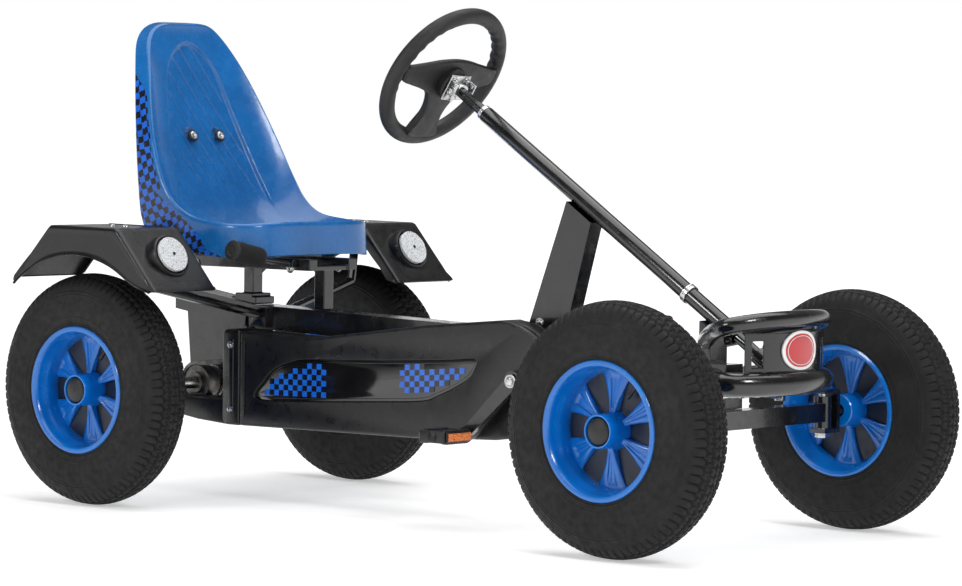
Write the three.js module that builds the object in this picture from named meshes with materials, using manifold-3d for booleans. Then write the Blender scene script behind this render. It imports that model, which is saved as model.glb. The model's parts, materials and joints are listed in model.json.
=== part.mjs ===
// Pedal go kart: a rectangular spine beam on four pneumatic wheels, a bucket seat on a short rail, a raked
// steering column, a chain guard along the right side and a tubular front bumper.
// Millimetres. +X points forward, +Y to the driver's left, +Z up. The origin is on the ground, midway
// between the two axles, on the centre plane.
import * as THREE from "three";
import { mergeVertices } from "three/addons/utils/BufferGeometryUtils.js";
import Module from "manifold-3d";

const wasm = await Module();
wasm.setup();

// ---- driving dimensions -------------------------------------------------------------------------------
const WHEELBASE = 1132;
const TYRE_RADIUS = 200; // 4.00-8 tyre, 400 mm across
const TYRE_SIDES = 32;
const TYRE_HALF_WIDTH = 47;
const REAR_TRACK_HALF = 331; // centre plane to the middle of a rear tyre
const FRONT_TRACK_HALF = 313;
const GAP = 0.5; // space between pieces that touch
const STEEL_WALL = 2.5;
const PLASTIC_WALL = 4;

const BEAM_HALF_WIDTH = 25;
const BEAM_HEIGHT = 42;
const COLUMN_TOP = [-25, 713.8]; // x and z of the top of the steering shaft
const COLUMN_RAKE = 33.2; // degrees below horizontal, going forward
const COLUMN_RADIUS = 14;
const SHAFT_RADIUS = 9.5;
const RING_RADIUS = 121; // steering wheel, middle of the rim section
const RING_SECTION = 13.5;
const CRANK_X = 199;
const CRANK_Z = 245;
const CRANK_LENGTH = 138;
const CRANK_ANGLE = 42.4; // degrees that the right crank points down behind the horizontal
const GUARD_OUTER = -110;
const CHAIN_LINE = -80;
const CHAINRING_RADIUS = 62;
const SPROCKET_RADIUS = 31;
const KINGPIN_HALF = 228; // centre plane to a kingpin
const STEERING_ARM = [-66, -28]; // from a kingpin to the tie rod's outer end: backward, inward
const TIE_ROD_Z = 222;
const DROP_ARM = 50; // from the column's middle line to the tie rods' inner ends
const REAR_AXLE_RADIUS = 10;
const MUDGUARD_INNER = 232;
const MUDGUARD_OUTER = 382;
const SEAT_WALL = 4;

// The tyres rest on a flat between two corners of their section, so the axles sit a little lower.
const AXLE_Z = TYRE_RADIUS * Math.cos(Math.PI / TYRE_SIDES);
const REAR_X = -WHEELBASE / 2;
const FRONT_X = WHEELBASE / 2;

const RIGHT = -1;
const LEFT = 1;
const sideName = (side) => (side === RIGHT ? "right" : "left");

// ---- materials ----------------------------------------------------------------------------------------
const finish = (color, roughness, metalness = 0) =>
  new THREE.MeshStandardMaterial({ color, roughness, metalness });
const FRAME_PAINT = finish(0x121214, 0.3, 0.3);
const BLACK_PLASTIC = finish(0x17181a, 0.55);
const BLUE_PLASTIC = finish(0x0a5bb0, 0.3);
const SEAT_BLUE = finish(0x0d62ad, 0.4);
const TYRE_RUBBER = finish(0x1b1b1c, 0.85);
const ZINC = finish(0xc4c6c8, 0.3, 0.9);
const CHAIN_STEEL = finish(0x5c5a55, 0.45, 0.8);
const REFLECTOR = finish(0xe8ecec, 0.15);
const BADGE_RED = finish(0xc2202c, 0.4);

// ---- helpers ------------------------------------------------------------------------------------------
const radians = THREE.MathUtils.degToRad;

// A closed three.js geometry as a solid, turned right side out if its faces point inwards.
function solid(geometry) {
  const bare = geometry.index ? geometry.toNonIndexed() : geometry.clone();
  for (const name of Object.keys(bare.attributes)) {
    if (name !== "position") bare.deleteAttribute(name);
  }
  const merged = mergeVertices(bare, 1e-3);
  const triVerts = new Uint32Array(merged.index.array);
  const build = () =>
    new wasm.Manifold(
      new wasm.Mesh({ numProp: 3, vertProperties: merged.attributes.position.array, triVerts }),
    );
  const made = build();
  if (made.volume() > 0) return made;
  for (let i = 0; i < triVerts.length; i += 3) {
    [triVerts[i + 1], triVerts[i + 2]] = [triVerts[i + 2], triVerts[i + 1]];
  }
  return build();
}

function geometryOf(body) {
  const mesh = body.getMesh();
  const positions = new Float32Array(mesh.numVert * 3);
  for (let i = 0; i < mesh.numVert; i += 1) {
    const start = i * mesh.numProp;
    positions.set(mesh.vertProperties.subarray(start, start + 3), i * 3);
  }
  const geometry = new THREE.BufferGeometry();
  geometry.setAttribute("position", new THREE.BufferAttribute(positions, 3));
  geometry.setIndex(new THREE.BufferAttribute(mesh.triVerts, 1));
  return geometry;
}

const kart = new THREE.Group();

// Adds one named mesh, made of a solid or a geometry, to a group.
function piece(name, shape, material, group = kart) {
  const geometry = shape.isBufferGeometry ? geometryOf(solid(shape)) : geometryOf(shape);
  geometry.computeVertexNormals();
  const mesh = new THREE.Mesh(geometry, material);
  mesh.name = name;
  group.add(mesh);
  return mesh;
}

function join(...solids) {
  return solids.reduce((whole, next) => whole.add(next));
}

function box(x0, x1, y0, y1, z0, z1) {
  const geometry = new THREE.BoxGeometry(x1 - x0, y1 - y0, z1 - z0);
  geometry.translate((x0 + x1) / 2, (y0 + y1) / 2, (z0 + z1) / 2);
  return solid(geometry);
}

// A cylinder from one point to another.
function rod(from, to, radius, sides = 16, endRadius = radius) {
  const start = new THREE.Vector3(...from);
  const along = new THREE.Vector3(...to).sub(start);
  const length = along.length();
  const geometry = new THREE.CylinderGeometry(endRadius, radius, length, sides);
  geometry.translate(0, length / 2, 0);
  geometry.applyQuaternion(
    new THREE.Quaternion().setFromUnitVectors(new THREE.Vector3(0, 1, 0), along.normalize()),
  );
  geometry.translate(...start);
  return solid(geometry);
}

// An outline of [x, z] points, or a Shape drawn in x and z, extruded from y0 to y1.
function sidePlate(outline, y0, y1, curveSegments = 8) {
  const shape = Array.isArray(outline)
    ? new THREE.Shape(outline.map(([x, z]) => new THREE.Vector2(x, z)))
    : outline;
  const geometry = new THREE.ExtrudeGeometry(shape, {
    depth: y1 - y0,
    bevelEnabled: false,
    curveSegments,
  });
  geometry.rotateX(Math.PI / 2);
  geometry.translate(0, y1, 0);
  return solid(geometry);
}

// An outline of [x, y] points extruded from z0 to z1.
function flatPlate(outline, z0, z1) {
  const shape = new THREE.Shape(outline.map(([x, y]) => new THREE.Vector2(x, y)));
  const geometry = new THREE.ExtrudeGeometry(shape, { depth: z1 - z0, bevelEnabled: false });
  geometry.translate(0, 0, z0);
  return solid(geometry);
}

// A [radius, y] section turned about the Y axis.
function turned(section, sides = 32, centre = [0, 0, 0], start = 0) {
  const points = section.map(([radius, y]) => new THREE.Vector2(radius, y));
  const geometry = new THREE.LatheGeometry(points, sides, start);
  geometry.translate(...centre);
  return solid(geometry);
}

// A round bar bent along a smooth curve through [x, y, z] points.
function bentBar(points, radius, sides, steps) {
  const path = new THREE.CatmullRomCurve3(points.map((p) => new THREE.Vector3(...p)));
  const section = new THREE.Shape();
  for (let i = 0; i < sides; i += 1) {
    const angle = (i / sides) * 2 * Math.PI;
    section[i ? "lineTo" : "moveTo"](radius * Math.cos(angle), radius * Math.sin(angle));
  }
  section.closePath();
  const options = { steps, extrudePath: path, bevelEnabled: false };
  return solid(new THREE.ExtrudeGeometry(section, options));
}

// ---- wheels -------------------------------------------------------------------------------------------
const RIM_FLANGE = 108.5;
const RIM_HALF_WIDTH = 45;
const HUB_RADIUS = 26;
const HUB_OUTER = 44; // how far the hub reaches out from the wheel's middle
const HUB_INNER = 40;

// The carcass is open to the rim well, so the air space is not sealed. "out" is the outward Y direction.
function tyreSection() {
  const outside = [
    [102.5, -40],
    [138, -TYRE_HALF_WIDTH],
    [180, -38],
    [TYRE_RADIUS, -12],
  ];
  const inside = [
    [188, -9],
    [150, -38],
    [102.5, -33],
  ];
  const mirrored = (half) => half.map(([r, y]) => [r, -y]).reverse();
  return [...outside, ...mirrored(outside), ...mirrored(inside), ...inside, outside[0]];
}

function rimSection(out, bore) {
  const section = [
    [RIM_FLANGE, RIM_HALF_WIDTH],
    [RIM_FLANGE, 42.5],
    [101.5, 40.5],
    [92, 16],
    [92, -16],
    [101.5, -40.5],
    [RIM_FLANGE, -42.5],
    [RIM_FLANGE, -RIM_HALF_WIDTH],
    [97.5, -41.5],
    [87, -10],
    [HUB_RADIUS, -8],
    [HUB_RADIUS, -HUB_INNER],
    [bore, -HUB_INNER],
    [bore, HUB_OUTER],
    [HUB_RADIUS, HUB_OUTER],
    [HUB_RADIUS, 6],
    [87, 10],
    [97.5, 41.5],
    [RIM_FLANGE, RIM_HALF_WIDTH],
  ];
  return section.map(([radius, y]) => [radius, y * out]);
}

// Six pockets between the spokes on each face of the disc, down to a thin web.
function rimPockets() {
  const [near, far, web, depth] = [40, 80, 1.5, 20];
  const pockets = [];
  for (let i = 0; i < 6; i += 1) {
    const corner = (radius, degrees) => {
      const angle = radians(i * 60 + 30 + degrees);
      return [radius * Math.cos(angle), radius * Math.sin(angle)];
    };
    const outline = [corner(near, -11), corner(far, -20), corner(far, 20), corner(near, 11)];
    pockets.push(sidePlate(outline, -depth, -web), sidePlate(outline, web, depth));
  }
  return join(...pockets);
}

function wheel(axle, side, x, trackHalf, bore) {
  const name = `${axle}_${sideName(side)}`;
  const group = new THREE.Group();
  group.position.set(x, side * trackHalf, AXLE_Z);
  kart.add(group);
  const start = Math.PI / TYRE_SIDES;
  piece(`tyre_${name}`, turned(tyreSection(), TYRE_SIDES, [0, 0, 0], start), TYRE_RUBBER, group);
  const rim = turned(rimSection(side, bore), 20).subtract(rimPockets());
  piece(`rim_${name}`, rim, BLUE_PLASTIC, group);
  const near = side * (HUB_OUTER + GAP);
  const cap = rod([0, near, 0], [0, side * (HUB_OUTER + 9), 0], HUB_RADIUS - 1, 20, HUB_RADIUS - 6);
  piece(`hub_cap_${name}`, cap, BLACK_PLASTIC, group);
}

const STUB_RADIUS = 9;
for (const side of [RIGHT, LEFT]) {
  wheel("rear", side, REAR_X, REAR_TRACK_HALF, REAR_AXLE_RADIUS + GAP);
  wheel("front", side, FRONT_X, FRONT_TRACK_HALF, STUB_RADIUS + GAP);
}

// ---- spine beam and its brackets ----------------------------------------------------------------------
// Height of the beam's middle line: it falls steeply behind the seat, then gently to the front.
const BEAM_PATH = [
  [REAR_X - 112, 345],
  [-483, 317.5],
  [500, 290],
];
const BEAM_SLOPE = (BEAM_PATH[2][1] - BEAM_PATH[1][1]) / (BEAM_PATH[2][0] - BEAM_PATH[1][0]);
const beamZ = (x) => BEAM_PATH[1][1] + (x - BEAM_PATH[1][0]) * BEAM_SLOPE;

function beamOutline(half, overrun) {
  const ends = BEAM_PATH.map(([x, z], i) => [x + (i - 1) * overrun, z]);
  return [...ends.map(([x, z]) => [x, z - half]), ...ends.map(([x, z]) => [x, z + half]).reverse()];
}

function mainBeam() {
  const half = BEAM_HEIGHT / 2;
  const inside = BEAM_HALF_WIDTH - STEEL_WALL;
  const outer = sidePlate(beamOutline(half, 0), -BEAM_HALF_WIDTH, BEAM_HALF_WIDTH);
  return outer.subtract(sidePlate(beamOutline(half - STEEL_WALL, 1), -inside, inside));
}

// A plate each side of the beam hangs down to the rear axle and holds its bearing.
const BRACKET_INNER = 34;
function axleBracket(side) {
  const near = side * (BEAM_HALF_WIDTH - 1);
  const far = side * (BRACKET_INNER + 4);
  const top = BEAM_PATH[1][1] + 10;
  const hanger = sidePlate(
    [
      [REAR_X - 55, AXLE_Z - 28],
      [REAR_X + 55, AXLE_Z - 28],
      [REAR_X + 78, top],
      [REAR_X - 70, top + 12],
    ],
    Math.min(side * BRACKET_INNER, far),
    Math.max(side * BRACKET_INNER, far),
  );
  const foot = box(REAR_X - 60, REAR_X + 70, Math.min(near, far), Math.max(near, far), top - 24, top - 4);
  const hole = rod([REAR_X, side * 20, AXLE_Z], [REAR_X, side * 50, AXLE_Z], 22.5, 24);
  return hanger.add(foot).subtract(hole);
}

// Short tube under the beam that carries the crank axle.
const CRANK_AXLE_RADIUS = 8.5;
const crankCentre = (y) => [CRANK_X, y, CRANK_Z];
function crankShell() {
  const half = 38;
  const shell = rod(crankCentre(-half), crankCentre(half), 20, 20);
  const saddle = box(CRANK_X - 16, CRANK_X + 16, -20, 20, CRANK_Z + 8, 290);
  const beam = sidePlate(beamOutline(BEAM_HEIGHT / 2 - 1, 0), -40, 40);
  const bore = rod(crankCentre(-half - 1), crankCentre(half + 1), CRANK_AXLE_RADIUS + GAP, 20);
  return join(shell, saddle).subtract(beam).subtract(bore);
}

// The welded frame: the beam with its axle brackets and the crank's tube.
piece("main_beam", join(mainBeam(), axleBracket(RIGHT), axleBracket(LEFT), crankShell()), FRAME_PAINT);

function bearing(side) {
  const outline = [
    [REAR_AXLE_RADIUS + 0.4, -11],
    [22, -11],
    [22, 3],
    [30, 3],
    [30, 9],
    [REAR_AXLE_RADIUS + 0.4, 9],
    [REAR_AXLE_RADIUS + 0.4, -11],
  ];
  const centre = side * (BRACKET_INNER + 4 + GAP - 3);
  const section = outline.map(([radius, y]) => [radius, y * side]);
  return turned(section, 24, [REAR_X, centre, AXLE_Z]);
}

for (const side of [RIGHT, LEFT]) {
  piece(`axle_bearing_${sideName(side)}`, bearing(side), ZINC);
}
const axleEnd = REAR_TRACK_HALF + HUB_OUTER - 2;
piece(
  "rear_axle",
  rod([REAR_X, -axleEnd, AXLE_Z], [REAR_X, axleEnd, AXLE_Z], REAR_AXLE_RADIUS, 24),
  ZINC,
);

// ---- steering column ----------------------------------------------------------------------------------
// The column group has its origin at the top of the shaft and its +Z along the column, up to the driver.
const column = new THREE.Group();
column.position.set(COLUMN_TOP[0], 0, COLUMN_TOP[1]);
column.rotation.y = -radians(90 - COLUMN_RAKE);
kart.add(column);

const rake = radians(COLUMN_RAKE);
// The point [x, z] that lies a distance down the column from its top, and an offset square to it, upwards.
function onColumn(down, up = 0) {
  return [
    COLUMN_TOP[0] + down * Math.cos(rake) + up * Math.sin(rake),
    COLUMN_TOP[1] - down * Math.sin(rake) + up * Math.cos(rake),
  ];
}

const TUBE_TOP = 58.5;
const TUBE_BOTTOM = 577;
const HOUSING_BOTTOM = 700;
const SHAFT_BOTTOM = 764;
const WHEEL_RISE = 51; // steering wheel's ring above the top of the shaft

function pipe(top, bottom, radius, bore, sides = 20) {
  const outer = rod([0, 0, -bottom], [0, 0, -top], radius, sides);
  return outer.subtract(rod([0, 0, -bottom - 1], [0, 0, -top + 1], bore, sides));
}

piece("steering_shaft", rod([0, 0, -SHAFT_BOTTOM], [0, 0, 0], SHAFT_RADIUS, 20), FRAME_PAINT, column);
const shaftBore = SHAFT_RADIUS + 0.5;
piece("column_tube", pipe(TUBE_TOP + 6, TUBE_BOTTOM, COLUMN_RADIUS, shaftBore + 1.5), FRAME_PAINT, column);
piece("column_top_bush", pipe(TUBE_TOP - 2, TUBE_TOP + 6 - GAP, 13, shaftBore), ZINC, column);
piece("column_collar", pipe(TUBE_BOTTOM + GAP, TUBE_BOTTOM + 11, 16.5, shaftBore), ZINC, column);

// The ring is turned about Y, then laid square to the column.
function steeringWheel() {
  const section = [];
  for (let i = 0; i <= 8; i += 1) {
    const angle = (i / 8) * 2 * Math.PI;
    section.push([RING_RADIUS + RING_SECTION * Math.cos(angle), RING_SECTION * Math.sin(angle)]);
  }
  const ring = new THREE.LatheGeometry(
    section.map(([radius, y]) => new THREE.Vector2(radius, y)),
    32,
  );
  ring.rotateX(Math.PI / 2);
  ring.translate(0, 0, WHEEL_RISE);
  // Cross bar with a wing each side, and one broad spoke down to the rim.
  const reach = RING_RADIUS - 4;
  const wings = [
    [-14, -reach],
    [24, -reach],
    [36, -45],
    [40, 0],
    [36, 45],
    [24, reach],
    [-14, reach],
    [-30, 42],
    [-reach, 24],
    [-reach, -24],
    [-30, -42],
  ];
  const spokes = flatPlate(wings, WHEEL_RISE - 14, WHEEL_RISE - 2);
  const hub = rod([0, 0, WHEEL_RISE - 32], [0, 0, WHEEL_RISE + 4], 30, 20, 26);
  return join(solid(ring), spokes, hub);
}
piece("steering_wheel", steeringWheel(), BLACK_PLASTIC, column);

// Square plated bracket that bolts the wheel's hub to the shaft.
function hubClamp() {
  const top = WHEEL_RISE - 32 - GAP;
  const plate = box(-24, 24, -24, 24, top - 4, top);
  const boss = rod([0, 0, GAP], [0, 0, top - 4], 14, 16);
  const bolts = [];
  for (const [x, y] of [
    [-15, -15],
    [-15, 15],
    [15, -15],
    [15, 15],
  ]) {
    bolts.push(rod([x, y, top - 11], [x, y, top - 3], 5.5, 6));
  }
  return join(plate, boss, ...bolts);
}
piece("wheel_hub_clamp", hubClamp(), ZINC, column);

// ---- strut, front bracket -----------------------------------------------------------------------------
// Flat tube from the beam up to the column, its head cut along the column.
function columnStrut() {
  const half = 16;
  const footFront = 219;
  const footRear = 137;
  const footZs = [beamZ(footRear) + BEAM_HEIGHT / 2 + GAP, beamZ(footFront) + BEAM_HEIGHT / 2 + GAP];
  const head = [onColumn(300, -COLUMN_RADIUS - GAP), onColumn(362, -COLUMN_RADIUS - GAP)];
  const outline = (inset) => [
    [footRear + inset, footZs[0] - (inset ? 5 : 0)],
    [footFront - inset, footZs[1] - (inset ? 5 : 0)],
    [head[1][0] - inset, head[1][1] + (inset ? 6 : 0)],
    [head[0][0] + inset, head[0][1] + (inset ? 6 : 0)],
  ];
  const outer = sidePlate(outline(0), -half, half);
  return outer.subtract(sidePlate(outline(STEEL_WALL), -half + STEEL_WALL, half - STEEL_WALL));
}
piece("column_strut", columnStrut(), FRAME_PAINT);

// The lower end of the column: a short tube welded on top of the head, in line with the upper one.
function alongColumn(top, bottom, radius, sides) {
  const [x0, z0] = onColumn(top);
  const [x1, z1] = onColumn(bottom);
  return rod([x0, 0, z0], [x1, 0, z1], radius, sides);
}
const columnHousing = () => alongColumn(TUBE_BOTTOM + 11 + GAP, HOUSING_BOTTOM, COLUMN_RADIUS, 20);
const columnBore = () => alongColumn(TUBE_BOTTOM, SHAFT_BOTTOM, shaftBore + 1.5, 20);

const HEAD_HALF = 22; // half width of the front head
const HEAD_FRONT = 556;
const HEAD_STEP = 286; // the level above which the head is shorter
const HEAD_NECK = 524; // front of the head above the step
const AXLE_TUBE_TOP = AXLE_Z + 15;
// Box that joins the beam, the column housing, the bumper tubes and the front axle.
function frontHead() {
  const back = 500 + GAP;
  const outline = (inset) => [
    [back + inset, AXLE_TUBE_TOP + GAP - (inset ? 1 : 0)],
    [HEAD_FRONT - inset, AXLE_TUBE_TOP + GAP - (inset ? 1 : 0)],
    [HEAD_FRONT - inset, HEAD_STEP - inset],
    [HEAD_NECK - inset, HEAD_STEP - inset],
    [HEAD_NECK - inset, 338 - inset],
    [back + inset, 354 - inset],
  ];
  const outer = sidePlate(outline(0), -HEAD_HALF, HEAD_HALF);
  const hollow = sidePlate(outline(3), 3 - HEAD_HALF, HEAD_HALF - 3);
  return outer.subtract(hollow).add(columnHousing()).subtract(columnBore());
}
piece("front_head", frontHead(), FRAME_PAINT);

// Lever on the foot of the shaft that carries the inner ends of the tie rods.
const LINK_PLATE = [TIE_ROD_Z + 7.5, TIE_ROD_Z + 14];
const [DROP_X, DROP_Z] = onColumn(SHAFT_BOTTOM, -DROP_ARM);
function dropArm() {
  const boss = alongColumn(SHAFT_BOTTOM - 14, SHAFT_BOTTOM + 9, 15, 16);
  const bore = alongColumn(SHAFT_BOTTOM - 40, SHAFT_BOTTOM + GAP, SHAFT_RADIUS + GAP, 20);
  const [rootX, rootZ] = onColumn(SHAFT_BOTTOM + 6);
  const arm = sidePlate(
    [
      [rootX - 12, rootZ - 8],
      [DROP_X - 8, DROP_Z - 1],
      [DROP_X + 9, DROP_Z - 1],
      [rootX + 6, rootZ - 4],
      [rootX - 2, rootZ + 4],
    ],
    -9,
    9,
  );
  const plate = box(DROP_X - 9, DROP_X + 9, -16, 16, DROP_Z - 2, DROP_Z + 4);
  return join(boss, arm.subtract(bore), plate).subtract(bore);
}
piece("drop_arm", dropArm(), FRAME_PAINT);

// ---- front axle and steering knuckles -----------------------------------------------------------------
const SLEEVE_RADIUS = 15;
const KINGPIN_RADIUS = 7;
const SLEEVE = [AXLE_Z - 26, AXLE_Z + 26];

function frontAxle() {
  const reach = KINGPIN_HALF - SLEEVE_RADIUS + 3;
  const tube = box(FRONT_X - 15, FRONT_X + 15, -reach, reach, AXLE_Z - 15, AXLE_TUBE_TOP);
  const ends = [RIGHT, LEFT].map((side) => {
    const [x, y] = [FRONT_X, side * KINGPIN_HALF];
    return rod([x, y, SLEEVE[0]], [x, y, SLEEVE[1]], SLEEVE_RADIUS, 20);
  });
  const bores = [RIGHT, LEFT].map((side) => {
    const [x, y] = [FRONT_X, side * KINGPIN_HALF];
    return rod([x, y, SLEEVE[0] - 1], [x, y, SLEEVE[1] + 1], KINGPIN_RADIUS + 0.4, 16);
  });
  return join(tube, ...ends).subtract(join(...bores));
}
piece("front_axle", frontAxle(), FRAME_PAINT);

function knuckle(side) {
  const y = side * KINGPIN_HALF;
  const span = (a, b) => [Math.min(side * a, side * b), Math.max(side * a, side * b)];
  const ears = span(KINGPIN_HALF - 14, KINGPIN_HALF + 28);
  const web = span(KINGPIN_HALF + 20, KINGPIN_HALF + 28);
  const top = box(FRONT_X - 15, FRONT_X + 15, ...ears, ...LINK_PLATE);
  const bottom = box(FRONT_X - 15, FRONT_X + 15, ...ears, SLEEVE[0] - 8, SLEEVE[0] - 1.5);
  const upright = box(FRONT_X - 15, FRONT_X + 15, ...web, SLEEVE[0] - 8, LINK_PLATE[1]);
  const armEnd = [FRONT_X + STEERING_ARM[0], side * (KINGPIN_HALF + STEERING_ARM[1])];
  const armPlate = [
    [FRONT_X + 4, y + side * 12],
    [armEnd[0] - 8, armEnd[1] + side * 8],
    [armEnd[0] - 4, armEnd[1] - side * 10],
    [FRONT_X + 4, y - side * 12],
  ];
  const arm = flatPlate(armPlate, ...LINK_PLATE);
  const stubEnd = side * (FRONT_TRACK_HALF + HUB_OUTER - 2);
  const root = side * (KINGPIN_HALF + 24);
  const stub = rod([FRONT_X, root, AXLE_Z], [FRONT_X, stubEnd, AXLE_Z], STUB_RADIUS, 20);
  const bore = rod([FRONT_X, y, SLEEVE[0] - 20], [FRONT_X, y, 260], KINGPIN_RADIUS + 0.4, 16);
  return join(top, bottom, upright, arm, stub).subtract(bore);
}

function kingpin(side) {
  const at = (z) => [FRONT_X, side * KINGPIN_HALF, z];
  const head = rod(at(LINK_PLATE[1] + GAP), at(LINK_PLATE[1] + 7), 12, 6);
  const nut = rod(at(SLEEVE[0] - 16), at(SLEEVE[0] - 8 - GAP), 12, 6);
  return join(head, nut, rod(at(SLEEVE[0] - 16), at(LINK_PLATE[1] + 4), KINGPIN_RADIUS, 16));
}

function tieRod(side) {
  const inner = [DROP_X, side * 14, DROP_Z - 12];
  const outer = [FRONT_X + STEERING_ARM[0], side * (KINGPIN_HALF + STEERING_ARM[1]), TIE_ROD_Z];
  const ends = [inner, outer].map(([x, y, z]) => rod([x, y, z - 7], [x, y, z + 6], 9, 12));
  return join(rod(inner, outer, 5, 10), ...ends);
}

for (const side of [RIGHT, LEFT]) {
  const name = sideName(side);
  piece(`knuckle_${name}`, knuckle(side), FRAME_PAINT);
  piece(`kingpin_${name}`, kingpin(side), ZINC);
  piece(`tie_rod_${name}`, tieRod(side), ZINC);
}

// ---- bumper -------------------------------------------------------------------------------------------
const BUMPER_HALF = 119;
const LOWER_TUBE_Z = 263;
const LOWER_TUBE_RADIUS = 19;
const UPPER_TUBE_RADIUS = 13.5;
const BUMPER_FRONT = 684;
const PLATE_CURVE = 198; // radius of the bumper's front, seen from above

// One side of the tube's middle line from the head to the front, mirrored to make the whole loop.
function bumperTube(start, front, heights, radius, bore) {
  const half = [
    [...start, heights[0]],
    [575, 84, heights[1]],
    [628, BUMPER_HALF, heights[2]],
    [667, 80, heights[3]],
  ];
  const right = half.map(([x, y, z]) => [x, -y, z]);
  const path = [...right, [BUMPER_FRONT, 0, heights[4]], ...[...half].reverse()];
  const head = box(440, front + GAP, -HEAD_HALF - GAP, HEAD_HALF + GAP, 200, 400);
  const tube = bentBar(path, radius, 10, 20);
  return bore ? tube.subtract(bentBar(path, bore, 6, 20)).subtract(head) : tube.subtract(head);
}
const low = LOWER_TUBE_Z;
const lowerTube = bumperTube([528, 12], HEAD_FRONT, [low, low, low, low, low], LOWER_TUBE_RADIUS, 15);
piece("bumper_lower_tube", lowerTube, FRAME_PAINT);
const upperTube = bumperTube([512, 20], HEAD_NECK, [322, 341, 353, 362, 365], UPPER_TUBE_RADIUS, 0);
const columnRoom = alongColumn(TUBE_BOTTOM, SHAFT_BOTTOM, COLUMN_RADIUS + GAP, 20);
piece("bumper_upper_tube", upperTube.subtract(columnRoom), FRAME_PAINT);

// A strip of a ring about the bumper's own centre, between two angles and two heights.
function arcStrip(inner, outer, from, to, z0, z1) {
  const points = [];
  const steps = 12;
  for (let i = 0; i <= 2 * steps + 1; i += 1) {
    const radius = i <= steps ? outer : inner;
    const part = i <= steps ? i : 2 * steps + 1 - i;
    const angle = radians(from + ((to - from) * part) / steps);
    points.push([BUMPER_FRONT - PLATE_CURVE + radius * Math.cos(angle), radius * Math.sin(angle)]);
  }
  return flatPlate(points, z0, z1);
}

function bumperPlate() {
  const bottom = LOWER_TUBE_Z + LOWER_TUBE_RADIUS + GAP;
  const plate = arcStrip(PLATE_CURVE - 3, PLATE_CURVE, -32, 32, bottom, 343);
  const windows = [RIGHT, LEFT].map((side) =>
    arcStrip(PLATE_CURVE - 20, PLATE_CURVE + 20, side * 22.5, side * 28.5, bottom + 6, 331),
  );
  return plate.subtract(join(...windows));
}
piece("bumper_plate", bumperPlate(), FRAME_PAINT);

// Plain oval badge that follows the plate's curve.
function badge() {
  const strip = arcStrip(PLATE_CURVE + GAP, PLATE_CURVE + 4, -16, 16, 284, 346);
  const oval = new THREE.CylinderGeometry(30, 30, 80, 24);
  oval.scale(1, 1, 1.6);
  oval.rotateZ(Math.PI / 2);
  oval.translate(BUMPER_FRONT, 0, 315);
  return strip.intersect(solid(oval));
}
piece("badge", badge(), BADGE_RED);

// ---- cranks and chain ---------------------------------------------------------------------------------
const PEDAL = { length: 54, width: 67, height: 22 };
const CRANKS = {
  right: { side: RIGHT, arm: [114, 127], pedal: 140 },
  left: { side: LEFT, arm: [45, 58], pedal: 66 },
};
piece("crank_axle", rod(crankCentre(-131), crankCentre(62), CRANK_AXLE_RADIUS, 20), ZINC);

for (const [name, { side, arm, pedal }] of Object.entries(CRANKS)) {
  const angle = radians(CRANK_ANGLE);
  const pedalX = CRANK_X + side * CRANK_LENGTH * Math.cos(angle);
  const pedalZ = CRANK_Z + side * CRANK_LENGTH * Math.sin(angle);
  const [y0, y1] = [side * arm[0], side * arm[1]].sort((a, b) => a - b);
  const boss = rod(crankCentre(y0), crankCentre(y1), 17, 20);
  const eye = rod([pedalX, y0, pedalZ], [pedalX, y1, pedalZ], 12, 16);
  const across = [side * Math.sin(angle), -side * Math.cos(angle)];
  const blade = sidePlate(
    [
      [CRANK_X + 13 * across[0], CRANK_Z + 13 * across[1]],
      [pedalX + 9 * across[0], pedalZ + 9 * across[1]],
      [pedalX - 9 * across[0], pedalZ - 9 * across[1]],
      [CRANK_X - 13 * across[0], CRANK_Z - 13 * across[1]],
    ],
    y0 + 1,
    y1 - 1,
  );
  const outerEnd = side * (pedal + PEDAL.width - 3);
  const spindle = rod([pedalX, side * (arm[1] - 3), pedalZ], [pedalX, outerEnd, pedalZ], 6, 16);
  const bore = rod(crankCentre(y0 - 1), crankCentre(y1 + 1), CRANK_AXLE_RADIUS + GAP, 20);
  piece(`crank_arm_${name}`, join(boss, eye, blade, spindle).subtract(bore), FRAME_PAINT);

  const [p0, p1] = [side * pedal, side * (pedal + PEDAL.width)].sort((a, b) => a - b);
  const halfLength = PEDAL.length / 2;
  const halfHeight = PEDAL.height / 2;
  const block = box(pedalX - halfLength, pedalX + halfLength, p0, p1, pedalZ - halfHeight, pedalZ + halfHeight);
  const hole = rod([pedalX, p0 - 1, pedalZ], [pedalX, p1 + 1, pedalZ], 6 + GAP, 16);
  piece(`pedal_${name}`, block.subtract(hole), BLACK_PLASTIC);
}

function disc(x, z, radius, halfThickness, bore, sides) {
  const y = CHAIN_LINE;
  const wheel = rod([x, y - halfThickness, z], [x, y + halfThickness, z], radius, sides);
  const hub = rod([x, y - 8, z], [x, y + 12, z], bore + 8, 20);
  return wheel.add(hub).subtract(rod([x, y - 20, z], [x, y + 20, z], bore, 20));
}
piece("chainring", disc(CRANK_X, CRANK_Z, CHAINRING_RADIUS, 2, CRANK_AXLE_RADIUS + GAP, 32), CHAIN_STEEL);

// Brake hub on the rear axle, with the sprocket on its outer side.
function driveHub() {
  const bore = REAR_AXLE_RADIUS + GAP;
  const sprocket = disc(REAR_X, AXLE_Z, SPROCKET_RADIUS, 2, bore, 24);
  const drum = rod([REAR_X, -77, AXLE_Z], [REAR_X, -54, AXLE_Z], 30, 24);
  return sprocket.add(drum).subtract(rod([REAR_X, -78, AXLE_Z], [REAR_X, -50, AXLE_Z], bore, 20));
}
piece("drive_hub", driveHub(), CHAIN_STEEL);

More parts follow.
